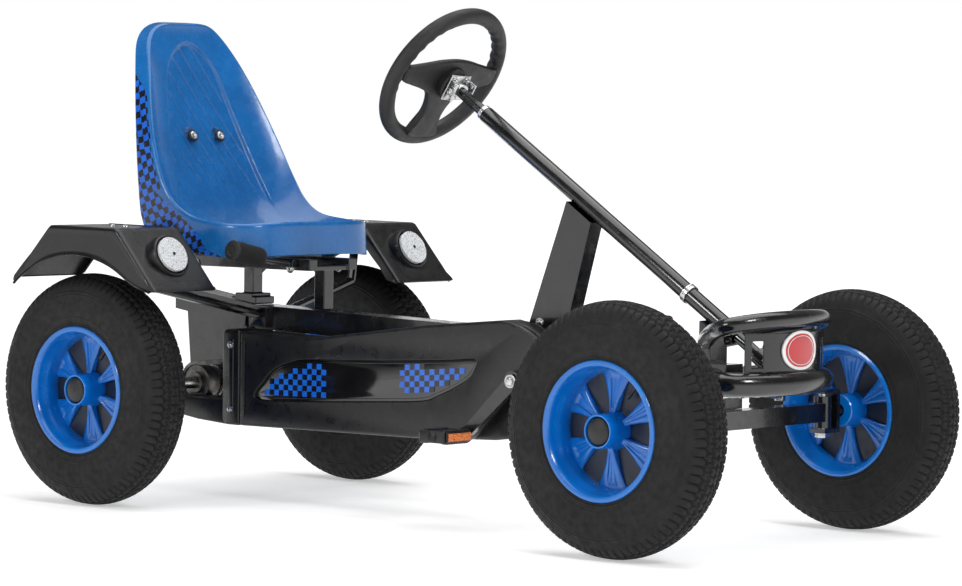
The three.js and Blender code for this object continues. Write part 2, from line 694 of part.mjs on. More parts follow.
// The outline of a belt that wraps the chainring and the sprocket, a little outside their edges.
function beltOutline(grow) {
  const ring = { x: CRANK_X, z: CRANK_Z, radius: CHAINRING_RADIUS + grow };
  const cog = { x: REAR_X, z: AXLE_Z, radius: SPROCKET_RADIUS + grow };
  const [dx, dz] = [ring.x - cog.x, ring.z - cog.z];
  const lean = Math.atan2(dz, dx);
  const wrap = Math.acos((cog.radius - ring.radius) / Math.hypot(dx, dz));
  const points = [];
  const arc = (wheelAt, from, to, steps) => {
    for (let i = 0; i <= steps; i += 1) {
      const angle = from + ((to - from) * i) / steps;
      points.push([
        wheelAt.x + wheelAt.radius * Math.cos(angle),
        wheelAt.z + wheelAt.radius * Math.sin(angle),
      ]);
    }
  };
  arc(ring, lean - wrap, lean + wrap, 16);
  arc(cog, lean + wrap, lean + 2 * Math.PI - wrap, 10);
  return points;
}
const CHAIN_HALF = 4;
const chainOuter = sidePlate(beltOutline(7), CHAIN_LINE - CHAIN_HALF, CHAIN_LINE + CHAIN_HALF);
const chainInner = sidePlate(beltOutline(1), CHAIN_LINE - 10, CHAIN_LINE + 10);
piece("chain", chainOuter.subtract(chainInner), CHAIN_STEEL);

// ---- chain guard --------------------------------------------------------------------------------------
const GUARD_INNER = -60;
const GUARD_STEP = -99; // the lower level of the outer face, round the crank
const SEAM_X = -435;

const GUARD_TOP = [
  [200, 334],
  [158, 342],
  [-5, 327],
  [-150, 308],
  [-267, 293],
  [SEAM_X, 298],
];
const GUARD_OUTLINE = [
  [SEAM_X, 132],
  [-35, 136],
  [178, 148],
  [238, 160],
  [277, 200],
  [285, 251],
  [262, 302],
  ...GUARD_TOP,
];
const GUARD_PANEL = [[SEAM_X, 132], [-35, 136], [96, 142], [181, 226], [254, 306], ...GUARD_TOP];

// Shrinks an outline towards its inside by a wall thickness.
function inset(outline, wall) {
  const turn = THREE.ShapeUtils.area(outline.map(([x, z]) => new THREE.Vector2(x, z))) > 0 ? 1 : -1;
  return outline.map(([x, z], i) => {
    const [px, pz] = outline[(i + outline.length - 1) % outline.length];
    const [nx, nz] = outline[(i + 1) % outline.length];
    const a = new THREE.Vector2(pz - z, x - px).normalize();
    const b = new THREE.Vector2(z - nz, nx - x).normalize();
    const spread = (turn * wall) / Math.max(0.3, 1 + a.dot(b));
    return [x + (a.x + b.x) * spread, z + (a.y + b.y) * spread];
  });
}

function chainGuard() {
  const outer = join(
    sidePlate(GUARD_OUTLINE, GUARD_STEP, GUARD_INNER),
    sidePlate(GUARD_PANEL, GUARD_OUTER, GUARD_STEP + 1),
  );
  const hollow = join(
    sidePlate(inset(GUARD_OUTLINE, 3), GUARD_STEP + 3, GUARD_INNER + 1),
    sidePlate(inset(GUARD_PANEL, 3), GUARD_OUTER + 3, GUARD_STEP + 4),
  );
  const seamGate = box(SEAM_X - 1, SEAM_X + 5, GUARD_STEP + 3, GUARD_INNER + 1, 150, 262);
  return outer.subtract(join(hollow, seamGate, rod(crankCentre(-120), crankCentre(-50), 19, 20)));
}
piece("chain_guard", chainGuard(), BLACK_PLASTIC);

function guardBack() {
  const plate = sidePlate(GUARD_OUTLINE, GUARD_INNER + GAP, GUARD_INNER + 3);
  return plate.subtract(rod(crankCentre(-70), crankCentre(-50), 14, 20));
}
piece("chain_guard_back", guardBack(), BLACK_PLASTIC);

// Rear cover: an upright block behind the seam and a trough that carries the lower run to the sprocket.
function rearGuard() {
  const blockBack = -477;
  const troughBack = REAR_X - 45;
  const front = SEAM_X - GAP;
  const block = sidePlate(
    [
      [blockBack, 132],
      [front, 132],
      [front, 300],
      [blockBack, 300],
    ],
    GUARD_OUTER,
    GUARD_INNER,
  );
  const trough = sidePlate(
    [
      [troughBack, 160],
      [REAR_X - 10, 142],
      [blockBack + 1, 132],
      [blockBack + 1, 178],
      [troughBack, 178],
    ],
    GUARD_OUTER + 2,
    GUARD_INNER,
  );
  const hollow = join(
    box(blockBack + 3, front + 1, GUARD_OUTER + 3, GUARD_INNER + 1, 136, 297),
    box(blockBack - 2, blockBack + 4, GUARD_OUTER + 8, GUARD_INNER + 1, 160, 262),
    sidePlate(
      [
        [troughBack + 3, 163],
        [REAR_X - 8, 146],
        [blockBack + 4, 137],
        [blockBack + 4, 190],
        [troughBack + 3, 190],
      ],
      GUARD_OUTER + 5,
      GUARD_INNER + 1,
    ),
  );
  return join(block, trough).subtract(hollow);
}
piece("chain_guard_rear", rearGuard(), BLACK_PLASTIC);

// ---- mudguards ----------------------------------------------------------------------------------------
const MUDGUARD_OUTLINE = [
  [REAR_X - 149, 388],
  [REAR_X - 61, 480],
  [REAR_X + 100, 478],
  [REAR_X + 195, 375],
  [REAR_X + 150, 375],
  [REAR_X + 149, 300],
  [REAR_X - 149, 300],
];
const ARCH_RADIUS = 232;
const LAMP_TILT = 25; // degrees that the reflector looks up
const LAMP_CENTRE = [REAR_X + 160, 434];

function lampRod(side, from, to, radius, sides) {
  const tilt = radians(LAMP_TILT);
  const at = (along) => [
    LAMP_CENTRE[0] + along * Math.cos(tilt),
    side * 306,
    LAMP_CENTRE[1] + along * Math.sin(tilt),
  ];
  return rod(at(from), at(to), radius, sides);
}

function mudguard(side) {
  const [y0, y1] = [side * MUDGUARD_INNER, side * MUDGUARD_OUTER].sort((a, b) => a - b);
  const wall = PLASTIC_WALL;
  const cavity = [
    [REAR_X - 149 + wall, 388 - wall],
    [REAR_X - 61 + 2, 480 - wall],
    [REAR_X + 100 - 2, 478 - wall],
    [REAR_X + 195 - 6, 375],
    [REAR_X + 150, 290],
    [REAR_X - 160, 290],
    [REAR_X - 160, 380],
  ];
  const inside = [y0 + (side === RIGHT ? wall : -1), y1 - (side === LEFT ? wall : -1)];
  const hollow = sidePlate(cavity, ...inside);
  const body = join(sidePlate(MUDGUARD_OUTLINE, y0, y1), lampRod(side, -30, -2, 37, 20));
  const arch = rod([REAR_X, y0 - 5, AXLE_Z], [REAR_X, y1 + 5, AXLE_Z], ARCH_RADIUS, 40);
  return body.subtract(hollow).subtract(arch);
}

// Arm from the beam out under the mudguard, with a post and a pad that holds the top plate.
function mudguardSupport(side) {
  const beamSide = [REAR_X + 100, side * (BEAM_HALF_WIDTH + GAP + 6), 322];
  const elbow = [REAR_X + 66, side * 246, 372];
  const padZ = 478 - PLASTIC_WALL - 4;
  const head = [REAR_X + 30, side * 300, padZ];
  const [p0, p1] = [side * 272, side * 340].sort((a, b) => a - b);
  const [f0, f1] = [side * (BEAM_HALF_WIDTH + GAP), side * (BEAM_HALF_WIDTH + 9)].sort((a, b) => a - b);
  return join(
    box(beamSide[0] - 20, beamSide[0] + 20, f0, f1, 300, 334),
    rod(beamSide, elbow, 8, 10),
    rod(elbow, head, 8, 10),
    box(REAR_X + 5, REAR_X + 60, p0, p1, padZ - 3, padZ + 2),
  );
}

for (const side of [RIGHT, LEFT]) {
  const name = sideName(side);
  piece(`mudguard_${name}`, mudguard(side), BLACK_PLASTIC);
  piece(`mudguard_support_${name}`, mudguardSupport(side), FRAME_PAINT);
  piece(`reflector_${name}`, lampRod(side, -2 + GAP, 4, 32, 24), REFLECTOR);
}

// ---- seat ---------------------------------------------------------------------------------------------
// Stations down the seat from the top of the back to the front lip. "rim" is the fold at the side, "hem" the
// lower edge of the skirt, both as x and z; "half" is half the width at the rim and "deep" how far the middle
// sits below the rim.
const SEAT_STATIONS = [
  { rim: [-685, 832], hem: [-708, 828], half: 56, deep: 3 },
  { rim: [-680, 815], hem: [-708, 812], half: 86, deep: 8 },
  { rim: [-654, 760], hem: [-686, 762], half: 112, deep: 16 },
  { rim: [-623, 680], hem: [-657, 677], half: 142, deep: 22 },
  { rim: [-598, 620], hem: [-638, 612], half: 157, deep: 26 },
  { rim: [-569, 560], hem: [-623, 546], half: 166, deep: 32 },
  { rim: [-539, 520], hem: [-612, 486], half: 167, deep: 44 },
  { rim: [-496, 497], hem: [-575, 440], half: 166, deep: 42 },
  { rim: [-436, 491], hem: [-452, 433], half: 168, deep: 28 },
  { rim: [-386, 490], hem: [-388, 431], half: 146, deep: 18 },
  { rim: [-356, 488], hem: [-356, 430], half: 86, deep: 5 },
];
const SEAT_ACROSS = [-1, -0.82, -0.5, 0, 0.5, 0.82, 1];

function seatRows() {
  const last = SEAT_STATIONS.length - 1;
  const slope = (i) => {
    const before = SEAT_STATIONS[Math.max(i - 1, 0)].rim;
    const after = SEAT_STATIONS[Math.min(i + 1, last)].rim;
    const along = new THREE.Vector2(after[0] - before[0], after[1] - before[1]).normalize();
    return [along.y, -along.x];
  };
  const rows = SEAT_STATIONS.map(({ rim, hem, half, deep }, i) => {
    const [nx, nz] = slope(i);
    const row = SEAT_ACROSS.map((t) => {
      const sink = deep * (1 - t * t * t * t);
      return new THREE.Vector3(rim[0] + nx * sink, t * half, rim[1] + nz * sink);
    });
    const hemAt = (side) => new THREE.Vector3(hem[0], side * (half + 3), hem[1]);
    return [hemAt(RIGHT), ...row, hemAt(LEFT)];
  });
  // The end skirts hang from the first and last rows.
  const endRow = (row, station) => {
    const [dx, dz] = [station.hem[0] - station.rim[0], station.hem[1] - station.rim[1]];
    const drop = new THREE.Vector3(dx, 0, dz);
    return row.map((p, j) => {
      if (j === 0 || j === row.length - 1) {
        return p.clone().lerp(row[j === 0 ? 1 : j - 1].clone().add(drop), 0.5);
      }
      return p.clone().add(drop);
    });
  };
  const top = endRow(rows[0], SEAT_STATIONS[0]);
  const front = endRow(rows[last], SEAT_STATIONS[last]);
  return [top, ...rows, front];
}

// A sheet given as rows of points, thickened towards its underside.
function thickSheet(rows, wall) {
  const [high, wide] = [rows.length, rows[0].length];
  const clampTo = (value, limit) => Math.min(Math.max(value, 0), limit - 1);
  const at = (i, j) => rows[clampTo(i, high)][clampTo(j, wide)];
  const under = rows.map((row, i) =>
    row.map((p, j) => {
      const down = at(i + 1, j).clone().sub(at(i - 1, j));
      const across = at(i, j + 1).clone().sub(at(i, j - 1));
      return p.clone().addScaledVector(down.cross(across).normalize(), wall);
    }),
  );
  const positions = [...rows.flat(), ...under.flat()].flatMap((p) => [p.x, p.y, p.z]);
  const count = high * wide;
  const faces = [];
  const quad = (a, b, c, d) => faces.push(a, b, c, a, c, d);
  for (let i = 0; i < high - 1; i += 1) {
    for (let j = 0; j < wide - 1; j += 1) {
      const k = i * wide + j;
      quad(k, k + 1, k + wide + 1, k + wide);
      quad(count + k, count + k + wide, count + k + wide + 1, count + k + 1);
    }
    for (const [edge, flip] of [
      [i * wide, false],
      [i * wide + wide - 1, true],
    ]) {
      const strip = [edge, edge + wide, edge + wide + count, edge + count];
      quad(...(flip ? strip.reverse() : strip));
    }
  }
  for (let j = 0; j < wide - 1; j += 1) {
    const last = (high - 1) * wide + j;
    quad(j, j + count, j + 1 + count, j + 1);
    quad(last, last + 1, last + 1 + count, last + count);
  }
  const geometry = new THREE.BufferGeometry();
  geometry.setAttribute("position", new THREE.Float32BufferAttribute(positions, 3));
  geometry.setIndex(faces);
  return solid(geometry);
}

const SEAT_BOLT = { y: 34, z: 638, bore: 4.6 };
const STAY_BACK = -658;
function seatShell() {
  const shell = thickSheet(seatRows(), SEAT_WALL);
  const holes = [RIGHT, LEFT].map((side) => {
    const y = side * SEAT_BOLT.y;
    return rod([-700, y, SEAT_BOLT.z], [-580, y, SEAT_BOLT.z], SEAT_BOLT.bore, 10);
  });
  return shell.subtract(join(...holes));
}
piece("seat_shell", seatShell(), SEAT_BLUE);

const RAIL = { back: -626, front: -316, bottom: 404, top: 424, near: 40, far: 60 };
const POSTS = { rear: -509, front: -338 };

// Two rails tied across, welded on a rear and a front post.
function seatRail() {
  const { back, front, bottom, top, near, far } = RAIL;
  const rails = [box(back, front, -far, -near, bottom, top), box(back, front, near, far, bottom, top)];
  const ties = Object.values(POSTS).map((x) => box(x - 18, x + 18, -far, far, bottom, bottom + 8));
  return join(...rails, ...ties);
}
function seatPost(x, footHalf) {
  const post = box(x - 12, x + 12, -12, 12, 300, RAIL.bottom + 4);
  const foot = box(x - footHalf, x + footHalf, -24, 24, 300, 352);
  const step = box(x - footHalf + 9, x + footHalf - 9, -24, 24, 300, 358);
  const beam = sidePlate(beamOutline(BEAM_HEIGHT / 2 + GAP, 0), -60, 60);
  const below = sidePlate(beamOutline(BEAM_HEIGHT, 0).map(([px, pz]) => [px, pz - 20]), -60, 60);
  return (footHalf ? join(post, foot, step) : post).subtract(join(beam, below));
}
const seatFrame = join(seatRail(), seatPost(POSTS.rear, 30), seatPost(POSTS.front, 0));
piece("seat_frame", seatFrame, FRAME_PAINT);

// Runner that slides on the rails, with the stay that rises behind the back and carries the two bolts.
function seatCarriage() {
  const base = RAIL.top + GAP;
  const plate = box(-612, -400, -RAIL.far, RAIL.far, base, base + 5);
  const stay = sidePlate(
    [
      [-612, base],
      [-606, base + 5],
      [STAY_BACK + 5, 662],
      [STAY_BACK, 662],
      [-612 - 4, base + 5],
    ],
    -44,
    44,
  );
  const blocks = [-540, -430].map((x) => box(x, x + 18, -30, 30, base + 4, 446));
  const holes = [RIGHT, LEFT].map((side) => {
    const y = side * SEAT_BOLT.y;
    return rod([-700, y, SEAT_BOLT.z], [-600, y, SEAT_BOLT.z], SEAT_BOLT.bore, 10);
  });
  return join(plate, stay, ...blocks).subtract(join(...holes));
}
piece("seat_carriage", seatCarriage(), FRAME_PAINT);

for (const side of [RIGHT, LEFT]) {
  const at = (x) => [x, side * SEAT_BOLT.y, SEAT_BOLT.z];
  const bolt = join(rod(at(-672), at(-620), 4, 10), rod(at(-622), at(-616), 9, 12, 7));
  piece(`seat_bolt_${sideName(side)}`, bolt, ZINC);
}

// Lever under the seat's right edge that frees the runner.
const LEVER = { x: -356, pivot: [-68, 416], bend: [-141, 425], tip: [-212, 442] };
const leverAt = ([y, z]) => [LEVER.x, y, z];
function seatLever() {
  const hub = rod([LEVER.x - 12, ...LEVER.pivot], [LEVER.x + 12, ...LEVER.pivot], 7, 12);
  return join(hub, rod(leverAt(LEVER.pivot), leverAt(LEVER.bend), 5.5, 12));
}
piece("seat_lever", seatLever(), FRAME_PAINT);
piece("seat_lever_grip", rod([LEVER.x, -142, 427], leverAt(LEVER.tip), 18, 20), BLACK_PLASTIC);

export default kart;
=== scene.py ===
# Pedal go kart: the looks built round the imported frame. Metres, +X forward, +Y to the driver's left, +Z up.
import bmesh
import bpy
import json
import math
import numpy as np
from mathutils import Matrix, Vector


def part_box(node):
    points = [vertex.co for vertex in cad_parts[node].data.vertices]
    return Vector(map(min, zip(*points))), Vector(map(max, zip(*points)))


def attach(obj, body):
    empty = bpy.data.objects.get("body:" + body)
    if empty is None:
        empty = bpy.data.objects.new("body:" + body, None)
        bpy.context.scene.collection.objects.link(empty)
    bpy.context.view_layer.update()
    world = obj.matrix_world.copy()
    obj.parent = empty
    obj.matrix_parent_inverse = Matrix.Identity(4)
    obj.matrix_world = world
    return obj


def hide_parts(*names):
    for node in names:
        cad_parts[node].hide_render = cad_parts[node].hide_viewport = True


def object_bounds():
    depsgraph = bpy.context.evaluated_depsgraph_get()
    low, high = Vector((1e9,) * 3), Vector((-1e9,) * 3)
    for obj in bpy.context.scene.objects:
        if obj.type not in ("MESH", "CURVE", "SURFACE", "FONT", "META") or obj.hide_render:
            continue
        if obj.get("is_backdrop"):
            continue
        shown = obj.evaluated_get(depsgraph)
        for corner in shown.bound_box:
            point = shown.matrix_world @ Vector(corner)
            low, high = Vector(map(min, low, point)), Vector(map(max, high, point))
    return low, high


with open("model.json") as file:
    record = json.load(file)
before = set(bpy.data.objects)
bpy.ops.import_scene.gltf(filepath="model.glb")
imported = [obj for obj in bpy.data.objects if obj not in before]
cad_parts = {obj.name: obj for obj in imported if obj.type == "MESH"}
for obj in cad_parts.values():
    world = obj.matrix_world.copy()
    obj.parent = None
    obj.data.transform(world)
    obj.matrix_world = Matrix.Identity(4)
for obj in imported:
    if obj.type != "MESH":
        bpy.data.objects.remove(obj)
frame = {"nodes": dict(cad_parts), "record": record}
CAD_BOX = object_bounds()
MM = 0.001
NODE_BODY = {n: body for body, nodes in frame["record"]["behaviour"]["bodies"].items() for n in nodes}
RIGHT, LEFT = -1, 1
SIDES = {"right": RIGHT, "left": LEFT}


def placed(name, data):
    """A new object in the scene."""
    obj = bpy.data.objects.new(name, data)
    bpy.context.scene.collection.objects.link(obj)
    return obj


# ---- the camera, at the photograph's angle ------------------------------------------------------------
def add_camera():
    yaw, pitch, roll = (math.radians(a) for a in (40.578, 2.7226, 0.7019))
    right = Vector((math.cos(yaw), math.sin(yaw), 0))
    back = Vector((math.sin(yaw) * math.cos(pitch), -math.cos(yaw) * math.cos(pitch), math.sin(pitch)))
    up = back.cross(right)
    x_axis = right * math.cos(roll) + up * math.sin(roll)
    y_axis = up * math.cos(roll) - right * math.sin(roll)
    data = bpy.data.cameras.new("camera")
    data.sensor_width = 36
    data.lens = 144.1
    data.clip_end = 100
    camera = placed("camera", data)
    camera.matrix_world = Matrix.Translation((4.2287, -4.9114, 0.6858)) @ (
        Matrix((x_axis, y_axis, back)).transposed().to_4x4()
    )
    bpy.context.scene.camera = camera


add_camera()


# ---- materials ----------------------------------------------------------------------------------------
class Nodes:
    """Short names for the shader nodes that the materials share."""

    def __init__(self, name):
        self.material = bpy.data.materials.new(name)
        self.material.use_nodes = True
        self.tree = self.material.node_tree
        self.shader = self.tree.nodes["Principled BSDF"]
        self.place = self.tree.nodes.new("ShaderNodeTexCoord").outputs["Object"]

    def put(self, values, node=None):
        """Gives inputs of a node, or of the shader, each a constant or a link."""
        for name, value in values.items():
            socket = (node or self.shader).inputs[name]
            if isinstance(value, bpy.types.NodeSocket):
                self.tree.links.new(value, socket)
            else:
                socket.default_value = value
        return node

    def new(self, kind, output, values):
        return self.put(values, self.tree.nodes.new("ShaderNode" + kind)).outputs[output]

    def noise(self, scale, detail=3):
        return self.new("TexNoise", "Fac", {"Scale": scale, "Detail": detail, "Vector": self.place})

    def cells(self, scale):
        return self.new("TexVoronoi", "Distance", {"Scale": scale, "Vector": self.place})

    def ramp(self, factor, *stops):
        node = self.put({"Fac": factor}, self.tree.nodes.new("ShaderNodeValToRGB"))
        elements = node.color_ramp.elements
        while len(elements) < len(stops):
            elements.new(0.5)
        for element, (place, colour) in zip(elements, stops):
            element.position = place
            element.color = (*colour, 1)
        return node.outputs["Color"]

    def spread(self, factor, low, high, start=0.3, end=0.7):
        values = {"From Min": start, "From Max": end, "To Min": low, "To Max": high, "Value": factor}
        return self.new("MapRange", "Result", values)

    def bump(self, height, depth, under=None):
        values = {"Distance": depth, "Strength": 1, "Height": height}
        return self.new("Bump", "Normal", values | ({"Normal": under} if under else {}))


def finish(name, tones, roughness, grain, depth, blotch=14, metallic=0.0, coat=0.0, wave=0.0):
    """A moulded, painted or plated surface: two drifting tones, uneven gloss, a fine grain and a slow ripple."""
    n = Nodes(name)
    n.put({"Metallic": metallic, "Coat Weight": coat, "Coat Roughness": 0.08, "Specular IOR Level": 0.5})
    n.put({"Base Color": n.ramp(n.noise(blotch, 5), (0.35, tones[0]), (0.68, tones[1]))})
    n.put({"Roughness": n.spread(n.noise(blotch * 4, 6), *roughness)})
    normal = n.bump(n.noise(grain, 2), depth)
    if wave:
        normal = n.bump(n.noise(24, 1), wave, normal)
    n.put({"Normal": normal})
    return n.material


def tyre_rubber():
    """Black rubber with a dusty bloom in patches."""
    n = Nodes("tyre_rubber")
    bloom = ((0.3, (0.005, 0.005, 0.005)), (0.6, (0.008, 0.008, 0.008)), (0.85, (0.017, 0.016, 0.016)))
    n.put({"Specular IOR Level": 0.3, "Base Color": n.ramp(n.noise(30, 8), *bloom)})
    n.put({"Roughness": n.spread(n.noise(90, 6), 0.5, 0.78), "Normal": n.bump(n.noise(700, 4), 0.0004)})
    return n.material


def prism_lens(name, tones, roughness):
    """A reflector's lens: clear or amber plastic over a field of small corner cubes, each cube painted bright in
    the middle and dark at its edges, painted glint on the cubes and painted shade in the creases between them.
    """
    n = Nodes(name)
    cells = n.cells(420)
    n.put({"Coat Weight": 1.0, "Coat Roughness": 0.05})
    # The cells' ramp paints each cube bright in the middle and dark at its edges: painted glint and painted shade,
    # not the lens's own colour.
    n.put({"Base Color": n.ramp(cells, (0.0, tones[0]), (0.5, tones[1]), (0.9, tones[2]))})
    n.put({"Roughness": n.spread(n.noise(200, 3), *roughness), "Normal": n.bump(cells, 0.0008)})
    return n.material


BLACK = ((0.004, 0.004, 0.005), (0.007, 0.007, 0.008))
BLACK_MATT = ((0.005, 0.005, 0.006), (0.009, 0.009, 0.010))
BLACK_GRIP = ((0.005, 0.005, 0.005), (0.009, 0.009, 0.009))
BLUE = ((0.0, 0.12, 0.46), (0.0, 0.155, 0.56))
# Near-black blue for the web between a rim's spokes: painted shade for the deep pockets, not the plastic's own
# colour.
BLUE_PAINTED_SHADE = ((0.0, 0.004, 0.018), (0.0, 0.008, 0.03))
BLUE_SEAT = ((0.001, 0.105, 0.34), (0.002, 0.13, 0.41))
BRIGHT = ((0.45, 0.46, 0.48), (0.72, 0.72, 0.70))
DULL = ((0.10, 0.095, 0.09), (0.25, 0.24, 0.22))
PALE = ((0.72, 0.72, 0.72), (0.82, 0.82, 0.82))
SCARLET = ((0.42, 0.008, 0.014), (0.55, 0.014, 0.02))
BLUE_FILM = ((0.004, 0.10, 0.52), (0.01, 0.14, 0.66))
BLACK_FILM = ((0.002, 0.002, 0.006), (0.005, 0.005, 0.012))
PAINT = finish("frame_paint", BLACK, (0.12, 0.3), 900, 0.00012, coat=0.6, wave=0.0006)
PLASTIC = finish("black_plastic", BLACK_MATT, (0.34, 0.5), 1100, 0.00025, wave=0.0004)
GUARD = finish("guard_plastic", BLACK, (0.24, 0.38), 1100, 0.00015, wave=0.0006)
GLOSS = finish("guard_gloss", BLACK, (0.05, 0.16), 300, 0.00004, coat=0.8)
GRIP = finish("grip_rubber", BLACK_GRIP, (0.42, 0.62), 650, 0.0006)
RIM_BLUE = finish("rim_blue", BLUE, (0.16, 0.3), 700, 0.00008, coat=0.4, wave=0.0005)
# The web's near-black blue finish is painted shade for the pockets between the spokes.
RIM_PAINTED_SHADE = finish("rim_painted_shade", BLUE_PAINTED_SHADE, (0.3, 0.5), 700, 0.00008)
SEAT_BLUE = finish("seat_blue", BLUE_SEAT, (0.2, 0.34), 800, 0.00012, coat=0.35, wave=0.0005)
ZINC = finish("zinc", BRIGHT, (0.16, 0.36), 400, 0.0001, blotch=60, metallic=1.0)
STEEL = finish("chain_steel", DULL, (0.3, 0.55), 500, 0.0002, blotch=80, metallic=0.9)
WHITE = finish("badge_white", PALE, (0.15, 0.28), 500, 0.00004, coat=0.6)
RED = finish("badge_red", SCARLET, (0.15, 0.28), 500, 0.00004, coat=0.6)
FILM_BLUE = finish("film_blue", BLUE_FILM, (0.2, 0.34), 600, 0.00004, coat=0.3)
FILM_DARK = finish("film_dark", BLACK_FILM, (0.2, 0.34), 600, 0.00004, coat=0.3)
RUBBER = tyre_rubber()
# Each lens's three tones run from painted glint at a cube's middle to painted shade at its edges.
CLEAR = prism_lens("clear_lens", ((0.95, 0.96, 0.97), (0.7, 0.72, 0.74), (0.35, 0.37, 0.4)), (0.1, 0.3))
AMBER = prism_lens("amber_lens", ((1.0, 0.33, 0.03), (0.8, 0.17, 0.01), (0.35, 0.05, 0.0)), (0.1, 0.3))
SLOT_FINISH = {
    "frame_paint": PAINT,
    "black_plastic": PLASTIC,
    "grip_rubber": GRIP,
    "blue_plastic": RIM_BLUE,
    "seat_blue": SEAT_BLUE,
    "tyre_rubber": RUBBER,
    "zinc": ZINC,
    "chain_steel": STEEL,
    "clear_lens": CLEAR,
    "badge": RED,
}
NODE_SLOT = {s["node"]: s["material_slot"] for s in frame["record"]["subparts"]}


# ---- mesh helpers -------------------------------------------------------------------------------------
def curve_through(points, count, closed=False):
    """Evenly counted points on the smooth curve through the given points."""
    p = np.array(points, float)
    n = len(p)
    spans = n if closed else n - 1
    t = np.linspace(0, spans, count, endpoint=not closed)
    i = np.minimum(t.astype(int), spans - 1)
    f = (t - i)[:, None]
    at = (lambda k: p[k % n]) if closed else (lambda k: p[np.clip(k, 0, n - 1)])
    a, b, c, d = at(i - 1), at(i), at(i + 1), at(i + 2)
    return 0.5 * (2 * b + (c - a) * f + (2 * a - 5 * b + 4 * c - d) * f**2 + (3 * b - a - 3 * c + d) * f**3)


def metres(points):
    """Pairs of millimetres as pairs of metres."""
    return [(a * MM, b * MM) for a, b in points]


def shaded(mesh, angle):
    mesh.polygons.foreach_set("use_smooth", [True] * len(mesh.polygons))
    if angle:
        mesh.set_sharp_from_angle(angle=math.radians(angle))


def make(name, points, faces, material, angle=0, outward=True):
    """An object from points and faces, with its faces turned outwards."""
    mesh = bpy.data.meshes.new(name)
    mesh.from_pydata(np.asarray(points, float).reshape(-1, 3).tolist(), [], faces)
    if outward:
        work = bmesh.new()
        work.from_mesh(mesh)
        bmesh.ops.recalc_face_normals(work, faces=work.faces)
        work.to_mesh(mesh)
        work.free()
    mesh.materials.append(material)
    shaded(mesh, angle)
    return placed(name, mesh)


def grid_faces(rows, columns, wrap_rows=False, wrap_columns=False):
    i, j = np.meshgrid(
        np.arange(rows if wrap_rows else rows - 1),
        np.arange(columns if wrap_columns else columns - 1),
        indexing="ij",
    )
    up, along = (i + 1) % rows, (j + 1) % columns
    quads = np.stack([i * columns + j, i * columns + along, up * columns + along, up * columns + j], -1)
    return quads.reshape(-1, 4).tolist()


def grid(name, points, material, wrap_rows=False, wrap_columns=False, caps=False, angle=0, outward=True):
    """A surface from an array of rows of points; caps close the first and last rows."""
    rows, columns = points.shape[:2]
    faces = grid_faces(rows, columns, wrap_rows, wrap_columns)
    if caps:
        faces += [list(range(columns)), list(range((rows - 1) * columns, rows * columns))]
    return make(name, points, faces, material, angle, outward)


def basis(axis):
    """Two unit vectors square to an axis and to each other, and the axis itself."""
    w = np.array(axis, float)
    w /= np.linalg.norm(w)
    helper = np.array((0, 0, 1.0)) if abs(w[2]) < 0.9 else np.array((1.0, 0, 0))
    u = np.cross(helper, w)
    u /= np.linalg.norm(u)
    return u, np.cross(w, u), w


def lathe(name, profile, origin, axis, material, steps=64, closed=False, angle=32):
    """A profile of (radius, distance along the axis) turned about the axis through origin."""
    u, v, w = basis(axis)
    turn = np.linspace(0, 2 * np.pi, steps, endpoint=False)
    ring = np.cos(turn)[:, None] * u + np.sin(turn)[:, None] * v
    points = np.array([[np.array(origin) + r * d + h * w for d in ring] for r, h in profile])
    return grid(name, points, material, wrap_rows=closed, wrap_columns=True, caps=not closed, angle=angle)


def sweep(name, path, radius, material, sides=24, closed=False, angle=40):
    """A round bar of constant or changing radius along a path."""
    p = np.array(path, float)
    ahead = np.roll(p, -1, 0) - np.roll(p, 1, 0)
    if not closed:
        ahead[0], ahead[-1] = p[1] - p[0], p[-1] - p[-2]
    ahead /= np.linalg.norm(ahead, axis=1)[:, None]
    u = basis(ahead[0])[0]
    turn = np.linspace(0, 2 * np.pi, sides, endpoint=False)
    radii = np.broadcast_to(radius, len(p))
    rows = []
    for place, way, r in zip(p, ahead, radii):
        u = u - way * np.dot(u, way)
        u /= np.linalg.norm(u)
        v = np.cross(way, u)
        rows.append(place + r * (np.cos(turn)[:, None] * u + np.sin(turn)[:, None] * v))
    return grid(name, np.array(rows), material, closed, True, not closed, angle)


def plate(name, outline, low, high, material, plane="xz", bevel=0.0, segments=3):
    """An outline in a plane, extruded between two levels, with rounded edges."""
    order = {"xz": (0, 2, 1), "xy": (0, 1, 2), "yz": (1, 2, 0)}[plane]
    count = len(outline)
    points = np.zeros((2 * count, 3))
    for k, level in enumerate((low, high)):
        part = points[k * count : (k + 1) * count]
        part[:, order[0]], part[:, order[1]] = np.array(outline, float).T
        part[:, order[2]] = level
    sides = [[i, (i + 1) % count, count + (i + 1) % count, count + i] for i in range(count)]
    faces = sides + [list(range(count)), list(range(count, 2 * count))]
    return softened(make(name, points, faces, material, 30), bevel, segments)


def block(name, low, high, material, bevel=0.001, segments=3):
    outline = [(low[0], low[1]), (high[0], low[1]), (high[0], high[1]), (low[0], high[1])]
    return plate(name, outline, low[2], high[2], material, "xy", bevel, segments)


def softened(obj, width, segments=3, angle=32):
    """Rounds an object's sharp edges."""
    if width:
        modifier = obj.modifiers.new("round", "BEVEL")
        modifier.width = width
        modifier.segments = segments
        modifier.limit_method = "ANGLE"
        modifier.angle_limit = math.radians(angle)
        modifier.harden_normals = True
    return obj


def settled(obj):
    """The object with its modifiers applied to its mesh."""
    evaluated = obj.evaluated_get(bpy.context.evaluated_depsgraph_get())
    mesh = bpy.data.meshes.new_from_object(evaluated)
    obj.modifiers.clear()
    obj.data = mesh
    return obj


